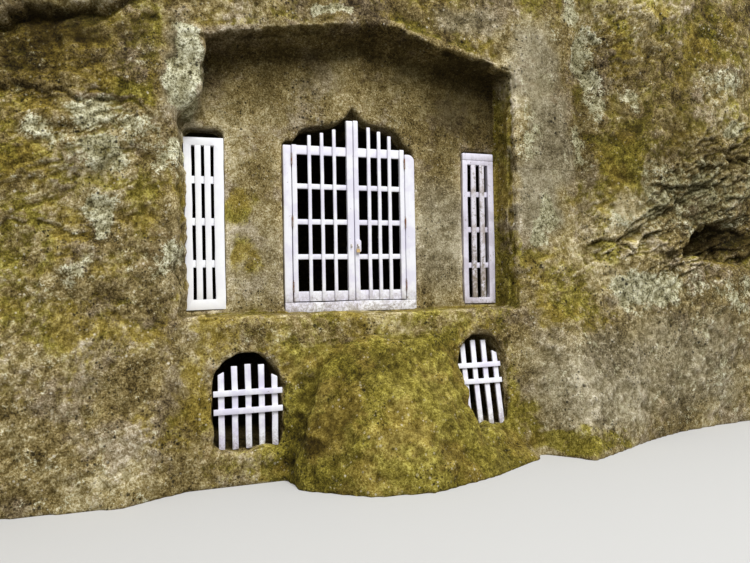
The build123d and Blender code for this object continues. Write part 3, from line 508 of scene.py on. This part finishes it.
DARK = (
    (3.1, 2.85, 1.1, 0.6, 0.52), (3.9, 2.6, 0.7, 0.5, 0.66), (1.85, 2.9, 0.28, 1.1, 0.4),
    (3, 3.75, 0.8, 0.35, 0.36), (-3.4, 3.8, 1.2, 0.45, 0.6), (-2.4, 3.22, 0.55, 0.28, 0.5),
    (3.4, 2.35, 0.75, 0.3, 0.62), (2.9, 0.75, 1.3, 0.55, 0.22), (-2.05, 2.75, 0.55, 0.35, 0.34),
    (-0.55, 0.3, 0.09, 0.06, 0.9), (-0.5, 0.46, 0.1, 0.05, 0.7), (-0.2, 0.25, 0.1, 0.05, 0.6),
    (-2.3, 3.53, 0.4, 0.16, 0.9), (-1.89, 3.57, 0.2, 0.1, 0.7), (-2.69, 3.3, 0.3, 0.16, 0.8),
    (-2.57, 3.06, 0.18, 0.1, 0.6), (-2.37, 3, 0.14, 0.08, 0.5), (-2.21, 3.2, 0.14, 0.1, 0.6),
    (3.23, 1.8, 0.12, 0.06, 0.6), (3.59, 1.88, 0.3, 0.1, 0.8), (4.12, 1.93, 0.35, 0.16, 0.9),
    (4.27, 2.32, 0.2, 0.2, 0.6), (4.25, 1.64, 0.2, 0.12, 0.5), (4.08, 2.77, 0.2, 0.06, 0.9),
    (3.47, 2.29, 0.14, 0.04, 0.6), (2.84, 1.98, 0.14, 0.04, 0.6), (2.35, 1.88, 0.09, 0.05, 0.7),
    (-1.57, 2.8, 0.12, 0.04, 0.5),
)
PALE = (
    (1.76, 3.6, 0.24, 0.35, 0.7), (1.9, 2.95, 0.22, 0.36, 0.8), (1.76, 2.35, 0.2, 0.34, 0.8),
    (2.05, 2.6, 0.14, 0.16, 0.6), (2.3, 0.62, 0.7, 0.42, 0.6), (3.3, 0.7, 0.9, 0.5, 0.5),
    (-0.6, 1.7, 1.2, 0.35, 0.35), (1.07, 3.95, 0.3, 0.12, 0.5), (0.95, 2, 0.38, 0.5, 0.55),
    (-1.43, 3.25, 0.13, 0.32, 0.8),
)


def patches(x, z, table):
    """All the patches of one growth together, each as strong as the table says, with uneven outlines."""
    total = np.zeros(len(x))
    x, z = x + wander(z, x, 0.07, 9.0), z + wander(x, z, 0.06, 8.0)
    for cx, cz, rx, rz, strength in table:
        near = np.flatnonzero((np.abs(x - cx) < 1.8 * rx) & (np.abs(z - cz) < 1.8 * rz))
        across, up = (x[near] - cx) / rx, (z[near] - cz) / rz
        total[near] = np.maximum(total[near], strength * np.exp(-across ** 4 / 2 - up ** 4 / 2))
    return total


def hollowness(piece, rounds):
    """How deep each point lies among its neighbours, in metres along its normal."""
    rows = coordinates(piece).astype(float)
    mesh = piece.data
    ends = np.empty(len(mesh.edges) * 2, dtype=np.int64)
    mesh.edges.foreach_get("vertices", ends)
    first, second = ends[::2], ends[1::2]
    count = len(rows)
    degree = np.maximum(np.bincount(first, minlength=count) + np.bincount(second, minlength=count), 1)
    smooth = rows.copy()
    for _ in range(rounds):
        for axis in range(3):
            column = smooth[:, axis]
            total = np.bincount(first, column[second], count) + np.bincount(second, column[first], count)
            smooth[:, axis] = total / degree
    normals = np.empty(count * 3, dtype=np.float32)
    mesh.vertex_normals.foreach_get("vector", normals)
    normals = normals.reshape(-1, 3)
    return np.sum((smooth - rows) * normals, axis=1), normals


def rock_sites(x, y, z, normals):
    """Places on the rock, each as a share at every point, for growth and shade to follow."""
    outside = outside_recess(x, z)
    fore = ramp(-0.9 - y, 0.0, 0.5)
    inner = (outside < 0.02) & (z > FLOOR_Z + 0.005) & (y < SKIN_Y) & (y > FACE_Y + 0.05)
    # painted shade: the round-headed insides of the low cells behind their pickets, and the chamber behind
    # the gate
    cells = np.zeros(len(x))
    for node in ("low_grille_left_pickets", "low_grille_right_pickets"):
        (left, near_face, _), (right, _, top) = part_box(node)
        deep = ramp(y - near_face, 0.0, 0.05) * (y < 0)
        across = (x - (left + right) / 2) / ((right - left) / 2)
        arch = np.hypot(across, np.maximum(z - top + CELL_ARCH, 0) / CELL_ARCH)
        cells = np.maximum(cells, ramp(1.32 - arch, 0.0, 0.30) * deep)
    chamber = (np.abs(x) < RECESS_HALF + 0.1) & (y > SKIN_Y) & (y < CHAMBER_BACK)
    chamber = chamber & (z > FLOOR_Z - 0.02) & (z < FLOOR_Z + CHAMBER_HEIGHT)
    return {
        "outside": outside,
        "carved": y < CARVED_Y,
        "fore": fore,
        "inner": inner,
        "face": ramp(np.abs(x) - RECESS_HALF, -0.15, 0.15) * (outside > 0.0),
        "base": ramp(RECESS_HALF + 0.15 - np.abs(x), 0.0, 0.3) * (z < FLOOR_Z + 0.02) * fore,
        "mound": ramp(-1.84 - y, 0.0, 0.10) * ramp(1.30 - np.abs(x - MOUND_X), 0.0, 0.25),
        "reveal": inner * ramp(-normals[:, 0], 0.3, 0.7) * (x > 1.2),
        # faces turned down under the recess's overhang, where shade is painted
        "ceiling": (y < WALL_Y + 0.05) * (outside < 0.08) * ramp(-normals[:, 2], 0.3, 0.7) * (z > 3.2),
        # cells and chamber, painted dark as shade and kept free of moss
        "hidden": np.maximum(cells, chamber),
    }


def moss_cover(x, z, up, site, crusts):
    """Moss: on flanks, base and what faces up; less on crusts and on what hangs over."""
    outside, fore, inner, face = site["outside"], site["fore"], site["inner"], site["face"]
    flank = np.where(x < 0, 0.50, 0.38 + 0.10 * ramp(z, 2.6, 3.4)) * face
    mossy = np.maximum.reduce([
        flank * fore * ramp(z, 0.2, 1.2),
        patches(x, z, MOSS) * site["carved"],
        0.42 * (1 - fore) * ramp(z, 0.1, 1.6),
        0.46 * ramp(z, 3.45, 3.65) * ramp(outside, -0.02, 0.06) * (1 - face),
        site["base"] * (0.47 + 0.38 * site["mound"] + 0.12 * ramp(z, 0.9, 1.25)),
        inner * (0.10 + 0.25 * (z < FLOOR_Z + 0.25)) + 0.60 * site["reveal"],
    ])
    mossy = mossy + 0.20 * ramp(up, 0.2, 0.7) * (outside > -0.02) * (z < 4.0)
    mossy = mossy - 0.35 * ramp(-up, 0.1, 0.6) - 0.30 * crusts
    return mossy - site["hidden"]


def shade_cover(x, z, up, site):
    """Wet rock and painted shade: painted shade in the head of the recess, under its ceiling, and in cells
    and chamber; darker on the mound, on top and in the DARK patches.
    """
    inner = site["inner"]
    # painted shade under the recess's overhang, in its head and over its upper right, standing also for wet
    # stains there; less on the right reveal
    shade = inner * ramp(z + 0.17 * np.abs(x - APEX_X) + 0.05 * x, 2.70, 3.60) * 0.66
    shade = np.maximum(shade, inner * 0.90 * ramp(x, -0.10, 1.00) * ramp(z, 2.4, 3.2))
    shade = shade * (1 - 0.6 * site["reveal"])
    roof = 0.30 * ramp(up, 0.3, 0.8) * (z > 4.0)
    # DARK patches, painted shade under the ceiling and in cells and chamber, darker on the mound and on the
    # top
    return np.maximum.reduce([patches(x, z, DARK) * site["carved"], shade, 0.60 * site["ceiling"],
                              0.40 * site["mound"] * site["base"], site["hidden"], roof])


def mark(piece, near_rounds, far_rounds, pit_depth):
    """Keep on the rock where moss, lichen, wet and pale rock lie, where shade is painted, and its pits and
    hollows, for its material.
    """
    x, y, z = coordinates(piece).T
    fine, normals = hollowness(piece, near_rounds)
    broad, _ = hollowness(piece, far_rounds)
    up = normals[:, 2]
    site = rock_sites(x, y, z, normals)
    crusts = patches(x, z, LICHEN) * site["carved"]
    pale = patches(x, z, PALE) * site["carved"]
    clear = ramp(z, 0.005, 0.04) * ramp(np.abs(y - SKIN_Y), 0.02, 0.15)      # away from the saw's cuts
    layers = {
        "moss": moss_cover(x, z, up, site, crusts) - 0.5 * pale,
        "lichen": np.maximum(0.27 * site["face"], crusts),
        "dark": shade_cover(x, z, up, site),
        "pale": pale,
        "pits": fine * clear / pit_depth,
        "hollows": broad * clear / HOLLOW_DEPTH,
    }
    for name, values in layers.items():
        layer = piece.data.attributes.new(name, "FLOAT", "POINT")
        layer.data.foreach_set("value", np.clip(values, -1, 1).astype(np.float32))


def divide(piece, point, normal, names):
    """Saw a closed piece in two closed pieces."""
    other = add(names[1], piece.data.copy())
    cut(piece, point, normal)
    cut(other, point, [-part for part in normal])
    piece.name = names[0]
    return piece, other


# Finishes

class Finish:
    """One procedural material, put together node by node on the object's own coordinates."""

    def __init__(self, name, roughness, specular):
        self.material = bpy.data.materials.new(name)
        self.material.use_nodes = True
        self.tree = self.material.node_tree
        self.shader = self.tree.nodes["Principled BSDF"]
        self.shader.inputs["Roughness"].default_value = roughness
        self.shader.inputs["Specular IOR Level"].default_value = specular
        self.place = self.tree.nodes.new("ShaderNodeTexCoord").outputs["Object"]

    def feed(self, socket, value):
        """Link a socket to another one, or set it."""
        if isinstance(value, bpy.types.NodeSocket):
            self.tree.links.new(value, socket)
        elif isinstance(value, tuple) and len(value) == 3 and socket.type == "RGBA":
            socket.default_value = (*value, 1)
        else:
            socket.default_value = value

    def math(self, operation, first, second=0.0, third=0.0):
        """One step of arithmetic."""
        node = self.tree.nodes.new("ShaderNodeMath")
        node.operation = operation
        for socket, value in zip(node.inputs, (first, second, third)):
            self.feed(socket, value)
        return node.outputs[0]

    def times(self, first, second):
        """One value times another."""
        return self.math("MULTIPLY", first, second)

    def span(self, value, low, high, start=0.0, end=1.0):
        """start below low, end above high, eased between."""
        node = self.tree.nodes.new("ShaderNodeMapRange")
        node.interpolation_type = "SMOOTHSTEP"
        for socket, given in zip(node.inputs, (value, low, high, start, end)):
            self.feed(socket, given)
        return node.outputs[0]

    def stretched(self, factors):
        """The object's own coordinates, scaled along each axis."""
        node = self.tree.nodes.new("ShaderNodeMapping")
        node.inputs["Scale"].default_value = factors
        self.feed(node.inputs["Vector"], self.place)
        return node.outputs[0]

    def noise(self, scale, detail, roughness, vector=None, distortion=0.0):
        """A cloudy pattern about one half."""
        node = self.tree.nodes.new("ShaderNodeTexNoise")
        self.feed(node.inputs["Vector"], vector or self.place)
        settings = {"Scale": scale, "Detail": detail, "Roughness": roughness, "Distortion": distortion}
        for name, value in settings.items():
            node.inputs[name].default_value = value
        return node.outputs["Fac"]

    def specks(self, scale, reach, share):
        """Small round specks in a share of the cells of a scattered net; reach is their size in cells."""
        node = self.tree.nodes.new("ShaderNodeTexVoronoi")
        self.feed(node.inputs["Vector"], self.place)
        node.inputs["Scale"].default_value = scale
        chance = self.tree.nodes.new("ShaderNodeSeparateColor")
        self.feed(chance.inputs[0], node.outputs["Color"])
        kept = self.math("LESS_THAN", chance.outputs[0], share)
        spread = self.math("POWER", chance.outputs[1], 2.5)
        size = self.math("MULTIPLY_ADD", spread, 0.9 * reach, 0.45 * reach)
        ragged = self.math("SUBTRACT", self.noise(2.0 * scale, 2, 0.6), 0.5)
        apart = self.math("MULTIPLY_ADD", ragged, 1.2 * reach, node.outputs["Distance"])
        return self.times(kept, self.span(self.math("DIVIDE", apart, size), 0.6, 1.1, 1.0, 0.0))

    def total(self, *shares):
        """The sum of values, each times its share."""
        whole = 0.0
        for value, share in shares:
            whole = self.math("MULTIPLY_ADD", value, share, whole)
        return whole

    def layer(self, name):
        """A mark kept on the rock."""
        node = self.tree.nodes.new("ShaderNodeAttribute")
        node.attribute_name = name
        return node.outputs["Fac"]

    def blend(self, share, under, over, kind="MIX"):
        """One colour over another, by a share."""
        node = self.tree.nodes.new("ShaderNodeMix")
        node.data_type = "RGBA"
        node.blend_type = kind
        colours = [socket for socket in node.inputs if socket.type == "RGBA"]
        self.feed(node.inputs[0], share)
        self.feed(colours[0], under)
        self.feed(colours[1], over)
        return [socket for socket in node.outputs if socket.type == "RGBA"][0]

    def colours(self, value, *stops):
        """A colour for each level of the value, given as (level, colour) pairs."""
        node = self.tree.nodes.new("ShaderNodeValToRGB")
        self.feed(node.inputs[0], value)
        band = node.color_ramp
        while len(band.elements) < len(stops):
            band.elements.new(0.5)
        for element, (level, colour) in zip(band.elements, stops):
            element.position = level
            element.color = (*colour, 1)
        return node.outputs["Color"]

    def bump(self, height, distance, strength, under=None):
        """A small relief, over another if given."""
        node = self.tree.nodes.new("ShaderNodeBump")
        node.inputs["Strength"].default_value = strength
        node.inputs["Distance"].default_value = distance
        self.feed(node.inputs["Height"], height)
        if under:
            self.feed(node.inputs["Normal"], under)
        return node.outputs[0]

    def show(self, colour, normal=None, roughness=None):
        """Finish the material with these."""
        self.feed(self.shader.inputs["Base Color"], colour)
        if normal:
            self.feed(self.shader.inputs["Normal"], normal)
        if roughness is not None:
            self.feed(self.shader.inputs["Roughness"], roughness)
        return self.material


def tone(red, green, blue):
    """A colour given as it looks on a screen, 0 to 255, in the linear light that shaders take."""
    return tuple(((part / 255 + 0.055) / 1.055) ** 2.4 for part in (red, green, blue))


def axis_of(finish, axis):
    """One of the object's own coordinates."""
    node = finish.tree.nodes.new("ShaderNodeSeparateXYZ")
    finish.feed(node.inputs[0], finish.place)
    return node.outputs[axis]


def growing(finish, cover, breakup, softness, spread):
    """Where a growth with this cover shows, broken up by a noise about one half."""
    reach = finish.math("ADD", cover, finish.math("MULTIPLY_ADD", breakup, spread, -0.5 * spread))
    return finish.span(reach, 0.5 - softness, 0.5 + softness)


# DUSK deepens and warms the painted shade of pits and hollows, of the recess, cells and chamber, and of wet
# rock
DUSK = (0.97, 1.03, 1.30)      # red, green and blue fade by these powers in the damp and the hollows


def tuff_finish():
    """Weathered tuff: grit, pits, brown stains, lichen crusts, soft moss and wet hollows, with painted shade
    in pits, hollows and wet rock and painted light on bumps.
    """
    finish = Finish("tuff", 0.95, 0.15)
    pits, hollows = finish.layer("pits"), finish.layer("hollows")
    weather = finish.noise(1.3, 12, 0.72)
    patchy = finish.noise(3.7, 10, 0.68, distortion=0.4)
    grit = finish.noise(19.0, 6, 0.85)
    sand = finish.noise(62.0, 3, 0.9)

    # bare stone: brown to buff, flushed with rose, and buff where it is washed
    level = finish.total((weather, 0.31), (patchy, 0.12), (grit, 0.23), (sand, 0.34))
    stone = finish.colours(level, (0.42, tone(44, 36, 17)), (0.47, tone(122, 104, 60)),
                           (0.515, tone(168, 151, 102)), (0.57, tone(232, 220, 182)))
    rosy = finish.colours(level, (0.42, tone(58, 48, 38)), (0.47, tone(128, 112, 92)),
                          (0.515, tone(172, 158, 138)), (0.57, tone(230, 218, 204)))
    flushed = finish.times(finish.span(finish.noise(2.1, 8, 0.7), 0.50, 0.60), 0.5)
    stone = finish.blend(flushed, stone, rosy)
    buff = finish.colours(level, (0.42, tone(84, 74, 52)), (0.49, tone(154, 143, 114)),
                          (0.57, tone(218, 209, 182)))
    stone = finish.blend(finish.span(finish.layer("pale"), 0.1, 0.7), stone, buff)
    stain = growing(finish, 0.22, finish.noise(2.6, 9, 0.72), 0.14, 2.2)
    stone = finish.blend(finish.times(stain, 0.45), stone, tone(116, 86, 46))

    # lichen crusts
    crust_break = finish.total((finish.noise(6.0, 10, 0.80), 0.55), (grit, 0.20), (sand, 0.25))
    crust = growing(finish, finish.layer("lichen"), crust_break, 0.07, 3.2)
    speckle = finish.total((grit, 0.5), (sand, 0.5))
    crust_tone = finish.colours(speckle, (0.43, tone(66, 62, 40)), (0.475, tone(164, 160, 122)),
                                (0.52, tone(214, 210, 174)), (0.57, tone(242, 240, 212)))
    stone = finish.blend(finish.times(crust, 0.92), stone, crust_tone)

    # moss, olive in some places and golden in others
    moss_break = finish.total((patchy, 0.60), (finish.noise(13.0, 8, 0.78), 0.25), (sand, 0.15))
    sheltered = finish.total((finish.layer("moss"), 1.0), (pits, 0.10))
    moss = growing(finish, sheltered, moss_break, 0.14, 2.2)
    tuft = finish.total((grit, 0.35), (weather, 0.25), (sand, 0.40))
    olive = finish.colours(tuft, (0.41, tone(44, 42, 10)), (0.47, tone(106, 97, 28)),
                           (0.52, tone(142, 130, 40)), (0.59, tone(204, 192, 88)))
    gold = finish.colours(tuft, (0.41, tone(56, 45, 14)), (0.47, tone(126, 108, 40)),
                          (0.52, tone(160, 139, 54)), (0.59, tone(212, 194, 104)))
    warmth = finish.total((finish.noise(1.9, 8, 0.68), 1.0), (axis_of(finish, "X"), -0.012))
    golden = finish.blend(finish.span(warmth, 0.46, 0.56), olive, gold)
    stone = finish.blend(finish.times(moss, 0.90), stone, golden)

    # dark pores and pale grains
    porous = finish.span(finish.noise(2.9, 8, 0.7), 0.42, 0.60)
    pores = finish.math("MAXIMUM", finish.specks(23.0, 0.36, 0.22), finish.specks(47.0, 0.50, 0.35))
    pores = finish.times(pores, porous)
    stone = finish.blend(finish.times(pores, 0.88), stone, tone(28, 24, 14))
    grainy = finish.span(finish.noise(3.9, 8, 0.7), 0.44, 0.60)
    grains = finish.times(finish.specks(41.0, 0.42, 0.22), grainy)
    stone = finish.blend(finish.times(grains, 0.75), stone, tone(228, 220, 196))

    # painted shade in pits and hollows and painted light on bumps; then wet rock darkened, with painted
    # shade in the recess's head, under its ceiling, in cells and chamber and in the DARK patches
    hollowed = finish.span(hollows, -0.7, 0.9, 1.14, 0.48)
    shade = finish.times(hollowed, finish.span(pits, -0.8, 1.0, 1.14, 0.60))
    damp_and_shade = finish.math("ADD", finish.layer("dark"), finish.math("MULTIPLY_ADD", patchy, 1.2, -0.6))
    shade = finish.times(shade, finish.span(damp_and_shade, 0.15, 0.95, 1.0, 0.20))
    dusk = finish.tree.nodes.new("ShaderNodeCombineColor")
    for socket, power in zip(dusk.inputs, DUSK):
        finish.feed(socket, finish.math("POWER", shade, power))
    colour = finish.blend(1.0, stone, dusk.outputs[0], "MULTIPLY")
    lumps = finish.bump(finish.total((grit, 0.45), (sand, 0.55)), 0.040, 0.65)
    return finish.show(colour, finish.bump(pores, 0.006, -0.7, lumps))


def near(finish, value, centre, reach):
    """1 at a level, 0 beyond its reach."""
    return finish.span(finish.math("ABSOLUTE", finish.math("SUBTRACT", value, centre)), 0.0, reach, 1.0, 0.0)


RUST_STAIN = (0.26, 0.13, 0.075)
GRIME = (0.235, 0.190, 0.130)
BLEED_WIDTH = 0.016      # half the width of the rust that runs down from a hinge
SPLASH = 0.30            # height over which dirt from the ground fades


def painted_finish(name, paint, stain, wear, dirt_level, bleeds=()):
    """Old paint on timber: brush marks, lilac stains, chips down to grey wood and dirt at the foot."""
    finish = Finish(name, 0.55, 0.35)
    across, height = axis_of(finish, "X"), axis_of(finish, "Z")
    grain = finish.noise(9.0, 5, 0.7, finish.stretched((9.0, 9.0, 0.55)), 0.6)
    fibres = finish.noise(60.0, 3, 0.7, finish.stretched((3.0, 3.0, 0.12)))
    cloudy = finish.noise(5.5, 4, 0.6)
    blots = finish.noise(34.0, 4, 0.7)
    colour = finish.blend(finish.span(cloudy, 0.42, 0.62), paint, stain)
    colour = finish.blend(finish.times(finish.span(grain, 0.50, 0.64), 0.35), colour, stain)
    wood = finish.colours(fibres, (0.38, (0.16, 0.135, 0.115)), (0.60, (0.40, 0.36, 0.33)))
    low = finish.span(height, dirt_level, dirt_level + SPLASH, 1.0, 0.0)
    bare = finish.total((blots, 0.6), (grain, 0.4), (low, 0.060))
    chipped = finish.span(bare, 0.625 - wear, 0.655 - wear)
    colour = finish.blend(finish.times(chipped, 0.85), colour, wood)
    grime = finish.times(finish.times(low, finish.span(blots, 0.40, 0.58)), 0.65)
    colour = finish.blend(grime, colour, GRIME)
    for x, z, drop in bleeds:
        below = finish.span(height, z - drop, z - 0.02)
        along = finish.times(below, finish.span(height, z + 0.05, z + 0.07, 1.0, 0.0))
        share = finish.times(near(finish, across, x, BLEED_WIDTH), along)
        share = finish.times(share, finish.span(blots, 0.36, 0.56))
        colour = finish.blend(finish.times(share, 0.8), colour, RUST_STAIN)
    brushed = finish.bump(grain, 0.0015, 0.5)
    flaked = finish.bump(chipped, 0.0012, -0.8, brushed)
    return finish.show(colour, flaked, finish.span(chipped, 0.0, 1.0, 0.50, 0.85))


def iron_finish(name, metal, rust, rusting):
    """Metal under rust or tarnish."""
    finish = Finish(name, 0.6, 0.5)
    patchy = finish.noise(38.0, 5, 0.7)
    fine = finish.noise(260.0, 3, 0.7)
    rusted = finish.span(patchy, 0.62 - rusting, 0.70 - rusting)
    dull, bright = (tuple(share * part for part in rust) for share in (0.45, 1.5))
    colour = finish.blend(rusted, metal, finish.colours(fine, (0.38, dull), (0.62, bright)))
    finish.feed(finish.shader.inputs["Metallic"], finish.span(rusted, 0.0, 1.0, 0.85, 0.05))
    return finish.show(colour, finish.bump(fine, 0.0006, 0.6), finish.span(rusted, 0.0, 1.0, 0.38, 0.88))


def add_camera():
    """The photograph's viewpoint: turned to the right, level, slightly rolled."""
    level = math.cos(PITCH)
    forward = Vector((math.sin(YAW) * level, math.cos(YAW) * level, math.sin(PITCH)))
    right = Vector((math.cos(YAW), -math.sin(YAW), 0.0))
    up = right.cross(forward)
    side = math.cos(ROLL) * right + math.sin(ROLL) * up
    top = -math.sin(ROLL) * right + math.cos(ROLL) * up
    turn = Matrix((side, top, -forward)).transposed()
    data = bpy.data.cameras.new("photo_camera")
    data.sensor_width = SENSOR
    data.lens = FOCAL_PX / FRAME_W * SENSOR
    camera = add("photo_camera", data)
    camera.matrix_world = Matrix.Translation(EYE) @ turn.to_4x4()
    bpy.context.scene.camera = camera


add_camera()
record = frame["record"]
BODY = {node: body for body, nodes in record["behaviour"]["bodies"].items() for node in nodes}
SLOT = {sub["node"]: sub["material_slot"] for sub in record["subparts"]}

# Rust below the hinges: x and height of each hinge, and how far the rust has run down
HINGE_HEIGHTS = (1.350, 0.800, 0.225)
HINGE_RUNS = ((0.08, 0.09, 0.22), (0.06, 0.07, 0.10))
HINGE_RUST = [(joint["pos_m"][0], FLOOR_Z + height, run)
              for joint, runs in zip(record["behaviour"]["joints"], HINGE_RUNS)
              for height, run in zip(HINGE_HEIGHTS, runs)]

tuff = tuff_finish()
gate_paint = painted_finish("gate_paint", (0.90, 0.90, 0.94), (0.78, 0.76, 0.86), wear=-0.008,
                            dirt_level=FLOOR_Z - 0.03, bleeds=HINGE_RUST)
window_paint = painted_finish("window_paint", (0.97, 0.98, 0.99), (0.92, 0.92, 0.96), wear=-0.05,
                              dirt_level=FLOOR_Z - 0.30)
grey_paint = painted_finish("grey_paint", (0.78, 0.75, 0.85), (0.60, 0.56, 0.64), wear=0.040,
                            dirt_level=FLOOR_Z - 0.10)
bar_paint = painted_finish("bar_paint", (0.76, 0.73, 0.80), (0.44, 0.38, 0.36), wear=0.085,
                           dirt_level=FLOOR_Z + 0.35)
grille_paint = painted_finish("grille_paint", (0.90, 0.90, 0.95), (0.74, 0.71, 0.84), wear=0.0,
                              dirt_level=0.20)
METALS = {name: iron_finish(name, metal, rust, rusting) for name, metal, rust, rusting in (
    ("rusty_iron", (0.30, 0.27, 0.25), (0.22, 0.085, 0.035), 0.16),
    ("old_steel", (0.55, 0.52, 0.47), (0.24, 0.13, 0.06), 0.05),
    ("lock_brass", (0.62, 0.44, 0.20), (0.20, 0.13, 0.06), 0.02),
)}
for name, slot in SLOT.items():
    mesh = frame["nodes"][name].data
    mesh.materials.clear()
    mesh.materials.append(METALS.get(slot, tuff))


def rock_piece(piece, slot, *nodes):
    """Give a finished piece of rock its material, its body and the nodes that it stands for."""
    piece.data.materials.clear()
    piece.data.materials.append(tuff)
    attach(piece, "chapel")
    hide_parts(*nodes)


def carve_rock():
    """The whole rock in closed pieces, each small enough to be kept whole."""
    front, behind = shape_rock()
    front, left = divide(front, (LEFT_SAW, 0, 0), (-1, 0, 0), ("front", "left_flank"))
    front, right = divide(front, (RIGHT_SAW, 0, 0), (1, 0, 0), ("front", "right_flank"))
    wall, foot = divide(front, (0, 0, FOOT_SAW), (0, 0, -1), ("recess_wall", "rock_foot"))
    wall, crown = divide(wall, (0, 0, CROWN_SAW), (0, 0, 1), ("recess_wall", "crown"))
    left, left_top = divide(left, (0, 0, SHOULDER_SAW), (0, 0, 1), ("left_flank", "left_shoulder"))
    right, right_top = divide(right, (0, 0, SHOULDER_SAW), (0, 0, 1), ("right_flank", "right_shoulder"))
    rock_piece(left, "rock_face", "cliff_left")
    rock_piece(left_top, "rock_face", "cliff_left")
    rock_piece(right, "rock_face", "cliff_right")
    rock_piece(right_top, "rock_face", "cliff_right")
    rock_piece(wall, "rock_face", "wall_left", "wall_right", "wall_head")
    rock_piece(crown, "rock_face", "crown_rock")
    rock_piece(foot, "mossy_rock", "base_left", "base_centre", "base_right", "mound")
    rock_piece(behind, "chamber_rock", "vault_rock", "back_rock")


# Timber: node, finish, width of the worn edge and how far it is out of true
TIMBER = [("gate_jamb_left", gate_paint, 0.006, 0.004), ("gate_jamb_right", gate_paint, 0.006, 0.004),
          ("gate_threshold", gate_paint, 0.006, 0.007)]
for leaf in ("left_leaf_", "right_leaf_"):
    TIMBER += [(leaf + "hinge_stile", gate_paint, 0.0035, 0.002),
               (leaf + "meeting_stile", gate_paint, 0.0035, 0.002),
               (leaf + "rails", gate_paint, 0.003, 0.002), (leaf + "bars", gate_paint, 0.0045, 0.003)]
TIMBER += [("lock_board", gate_paint, 0.002, 0.0), ("slit_left_frame", window_paint, 0.005, 0.006),
           ("slit_left_bars", window_paint, 0.003, 0.002), ("slit_left_rails", window_paint, 0.003, 0.001),
           ("slit_right_frame", grey_paint, 0.005, 0.005), ("slit_right_bars", bar_paint, 0.004, 0.004),
           ("slit_right_rails", grey_paint, 0.003, 0.001), ("slit_right_cap", grey_paint, 0.006, 0.003)]
for grille in ("low_grille_left_", "low_grille_right_"):
    TIMBER += [(grille + "pickets", grille_paint, 0.003, 0.005),
               (grille + "rails", grille_paint, 0.003, 0.003)]
RING = 0.11         # spacing of the rings along a lath that let it bend
BEND_SIZE = 0.30    # length of a bend
FLAT, SMOOTH, SHARP = math.radians(1), math.radians(30), math.radians(35)


def worn_timber(node, finish, edge, warp):
    """A lath or board after years of weather: eased edges, slightly bent, in the place of its node."""
    piece = twin(node)
    piece.name = node + "_worn"
    piece.data.materials.clear()
    piece.data.materials.append(finish)
    edit(piece)
    bpy.ops.mesh.dissolve_limited(angle_limit=FLAT)
    low, high = (np.array(corner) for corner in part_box(node))
    for axis in (0, 2):
        normal = [float(axis == 0), 0, float(axis == 2)]
        for step in range(1, int((high[axis] - low[axis]) / RING) + 1):
            point = [0, 0, 0]
            point[axis] = low[axis] + step * RING
            bpy.ops.mesh.select_all(action="SELECT")
            bpy.ops.mesh.bisect(plane_co=point, plane_no=normal)
    done()
    ease = piece.modifiers.new("ease", "BEVEL")
    ease.width = edge
    ease.segments = 2
    ease.limit_method = "ANGLE"
    ease.angle_limit = SHARP
    if warp:
        bend = bpy.data.textures.new("bend", "CLOUDS")
        bend.noise_scale = BEND_SIZE
        for direction in "XZ":
            shift = piece.modifiers.new("shift", "DISPLACE")
            shift.texture = bend
            shift.strength = 2 * warp
            shift.direction = direction
    apply_all(piece)
    place(piece, np.clip(coordinates(piece), low - warp / 2, high + warp / 2))
    pick(piece)
    bpy.ops.object.shade_smooth_by_angle(angle=SMOOTH)
    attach(piece, BODY[node])
    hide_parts(node)


carve_rock()
for node, finish, edge, warp in TIMBER:
    worn_timber(node, finish, edge, warp)


def seen_directly(tree):
    """1 for what the camera sees, straight or in a gloss; 0 for light that falls on the rock."""
    path = tree.nodes.new("ShaderNodeLightPath")
    seen = path.outputs["Is Camera Ray"]
    for kind in ("Is Glossy Ray", "Is Transmission Ray"):
        either = tree.nodes.new("ShaderNodeMath")
        either.operation = "MAXIMUM"
        tree.links.new(seen, either.inputs[0])
        tree.links.new(path.outputs[kind], either.inputs[1])
        seen = either.outputs[0]
    return seen


def stage():
    """A pale floor that throws little light up, a white surround and a broad lamp in front."""
    bpy.ops.mesh.primitive_plane_add(size=FLOOR_SIZE, location=(0, 0, 0))
    floor = bpy.context.object
    floor.name = "floor"
    ground = Finish("floor", 0.9, 0.3)
    ground.show(ground.blend(seen_directly(ground.tree), FLOOR_LIGHT, FLOOR_SEEN))
    floor.data.materials.append(ground.material)
    world = bpy.data.worlds.new("sky")
    bpy.context.scene.world = world
    world.use_nodes = True
    tree = world.node_tree
    background = tree.nodes["Background"]
    background.inputs["Color"].default_value = (1, 1, 1, 1)
    level = tree.nodes.new("ShaderNodeMapRange")
    level.inputs["To Min"].default_value = SKY
    tree.links.new(seen_directly(tree), level.inputs["Value"])
    tree.links.new(level.outputs[0], background.inputs["Strength"])
    data = bpy.data.lights.new("key", "AREA")
    data.size = LAMP_SIZE
    data.energy = LAMP_WATTS
    lamp = add("key", data)
    aim = (LAMP_AIM - LAMP_PLACE).to_track_quat("-Z", "Y").to_matrix().to_4x4()
    lamp.matrix_world = Matrix.Translation(LAMP_PLACE) @ aim
    bpy.context.scene.view_settings.view_transform = "Standard"


stage()
